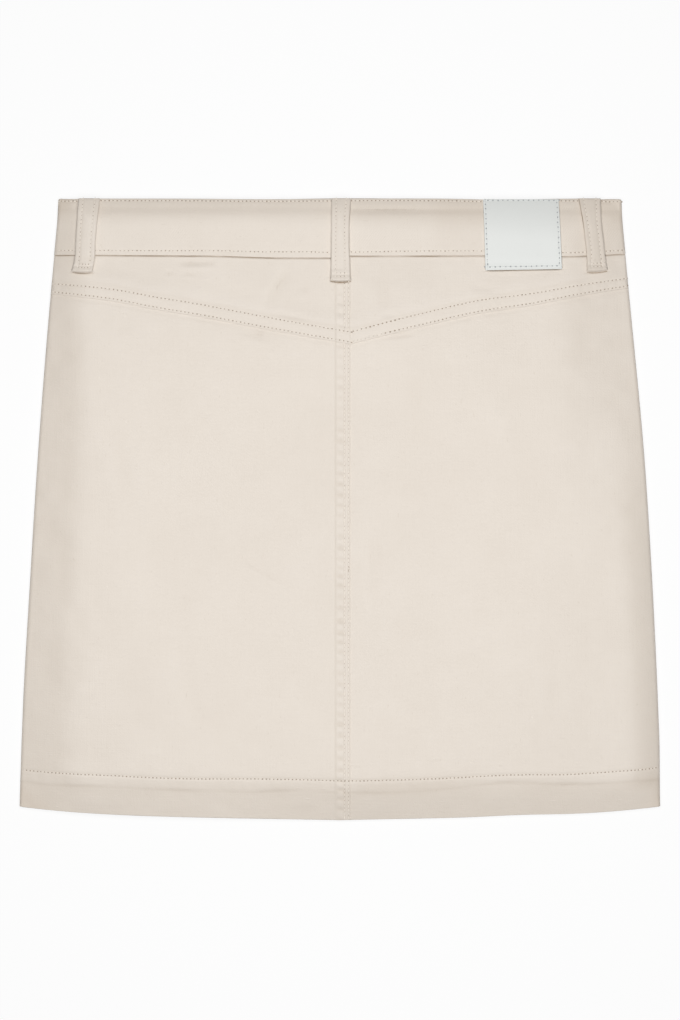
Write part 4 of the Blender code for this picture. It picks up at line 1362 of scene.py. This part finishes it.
# A dark bead painted as the shadow in each of the patch's needle holes.
patch_hole_shadow = flat_finish("patch_hole_shadow", (0.38, 0.395, 0.4), 0.95, 0.0004, 0.1)
down = steps((0.0006, 0.00015), (0.0498, 0.0008), (0.0006, 0.00015))[::-1, None]
across = steps((0.0006, 0.00015), (0.0533, 0.0008), (0.0006, 0.00015))[None, :]
x, y = patch_place(across, down)
shape = (x, y, patch_base(x, y), patch_relief(x, y), PATCH_THICK)
patch = cloth("patch_leather", *shape, leather, roll=0.0004)
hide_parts("leather_patch")
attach(patch, "root")
near, far = PATCH_ROW / PATCH_WIDTH, 1 - PATCH_ROW / PATCH_WIDTH
high, low = PATCH_TOP_ROW / PATCH_LENGTH, 1 - PATCH_FOOT_ROW / PATCH_LENGTH
corners = [(near, high), (far, high), (far, low), (near, low), (near, high + 0.02)]
share = np.linspace(0, 1, 60)
patch_lines = []
for start, stop in zip(corners, corners[1:]):
    place = patch_place(mix(start[0], stop[0], share), mix(start[1], stop[1], share))
    patch_lines.append(on_face(patch_face, *place))
sew("patch", patch_lines, 95, pitch=PATCH_PITCH, hole=0.0011, finishes=(grey_thread, patch_hole_shadow))

# ---- Waist button ----
# A turned metal shank button with a dished face, face down under the front of the waistband. It is
# the frame's own solid.

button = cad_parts["waist_button"]
button.data.materials.clear()
metal = flat_finish("button_metal", (0.62, 0.6, 0.56), 0.35, 0.001, 0.1, metallic=1.0)
button.data.materials.append(metal)

# ---- Table, light and camera ----
# The skirt lies on a pale table in a dim white room, under one soft light, and is seen from straight
# above.

bpy.ops.mesh.primitive_plane_add(size=8.0, location=(0, 0, -0.0002))
table = bpy.context.object
table.name = "table"
surface = bpy.data.materials.new("table_white")
surface.use_nodes = True
white = surface.node_tree.nodes["Principled BSDF"]
white.inputs["Base Color"].default_value = (0.14, 0.14, 0.14, 1.0)
white.inputs["Roughness"].default_value = 0.9
white.inputs["Specular IOR Level"].default_value = 0.1
white.inputs["Emission Color"].default_value = (1.0, 1.0, 1.0, 1.0)
white.inputs["Emission Strength"].default_value = 0.83
table.data.materials.append(surface)

SOFTBOX_HEIGHT = 1.3
softbox = bpy.data.objects.new("softbox", bpy.data.lights.new("softbox", "AREA"))
softbox.data.shape = "SQUARE"
softbox.data.size = 1.0
softbox.data.energy = 20.0
softbox.location = (0, 0, SOFTBOX_HEIGHT)
softbox.visible_camera = False
bpy.context.scene.collection.objects.link(softbox)
room = bpy.data.worlds.new("room")
room.use_nodes = True
room.node_tree.nodes["Background"].inputs["Color"].default_value = (1.0, 1.0, 1.0, 1.0)
room.node_tree.nodes["Background"].inputs["Strength"].default_value = 0.12
bpy.context.scene.world = room
bpy.context.scene.view_settings.view_transform = "Standard"

FRAME_HEIGHT = 0.7344  # how much of the table the picture's height takes in
CAMERA_HEIGHT = 3.0
SENSOR = 36.0
camera = bpy.data.objects.new("camera", bpy.data.cameras.new("camera"))
camera.data.sensor_width = SENSOR
camera.data.lens = SENSOR * (CAMERA_HEIGHT - cad_box[1].z / 2) / FRAME_HEIGHT
camera.location = (0.00036, -0.00072, CAMERA_HEIGHT)
bpy.context.scene.collection.objects.link(camera)
bpy.context.scene.camera = camera
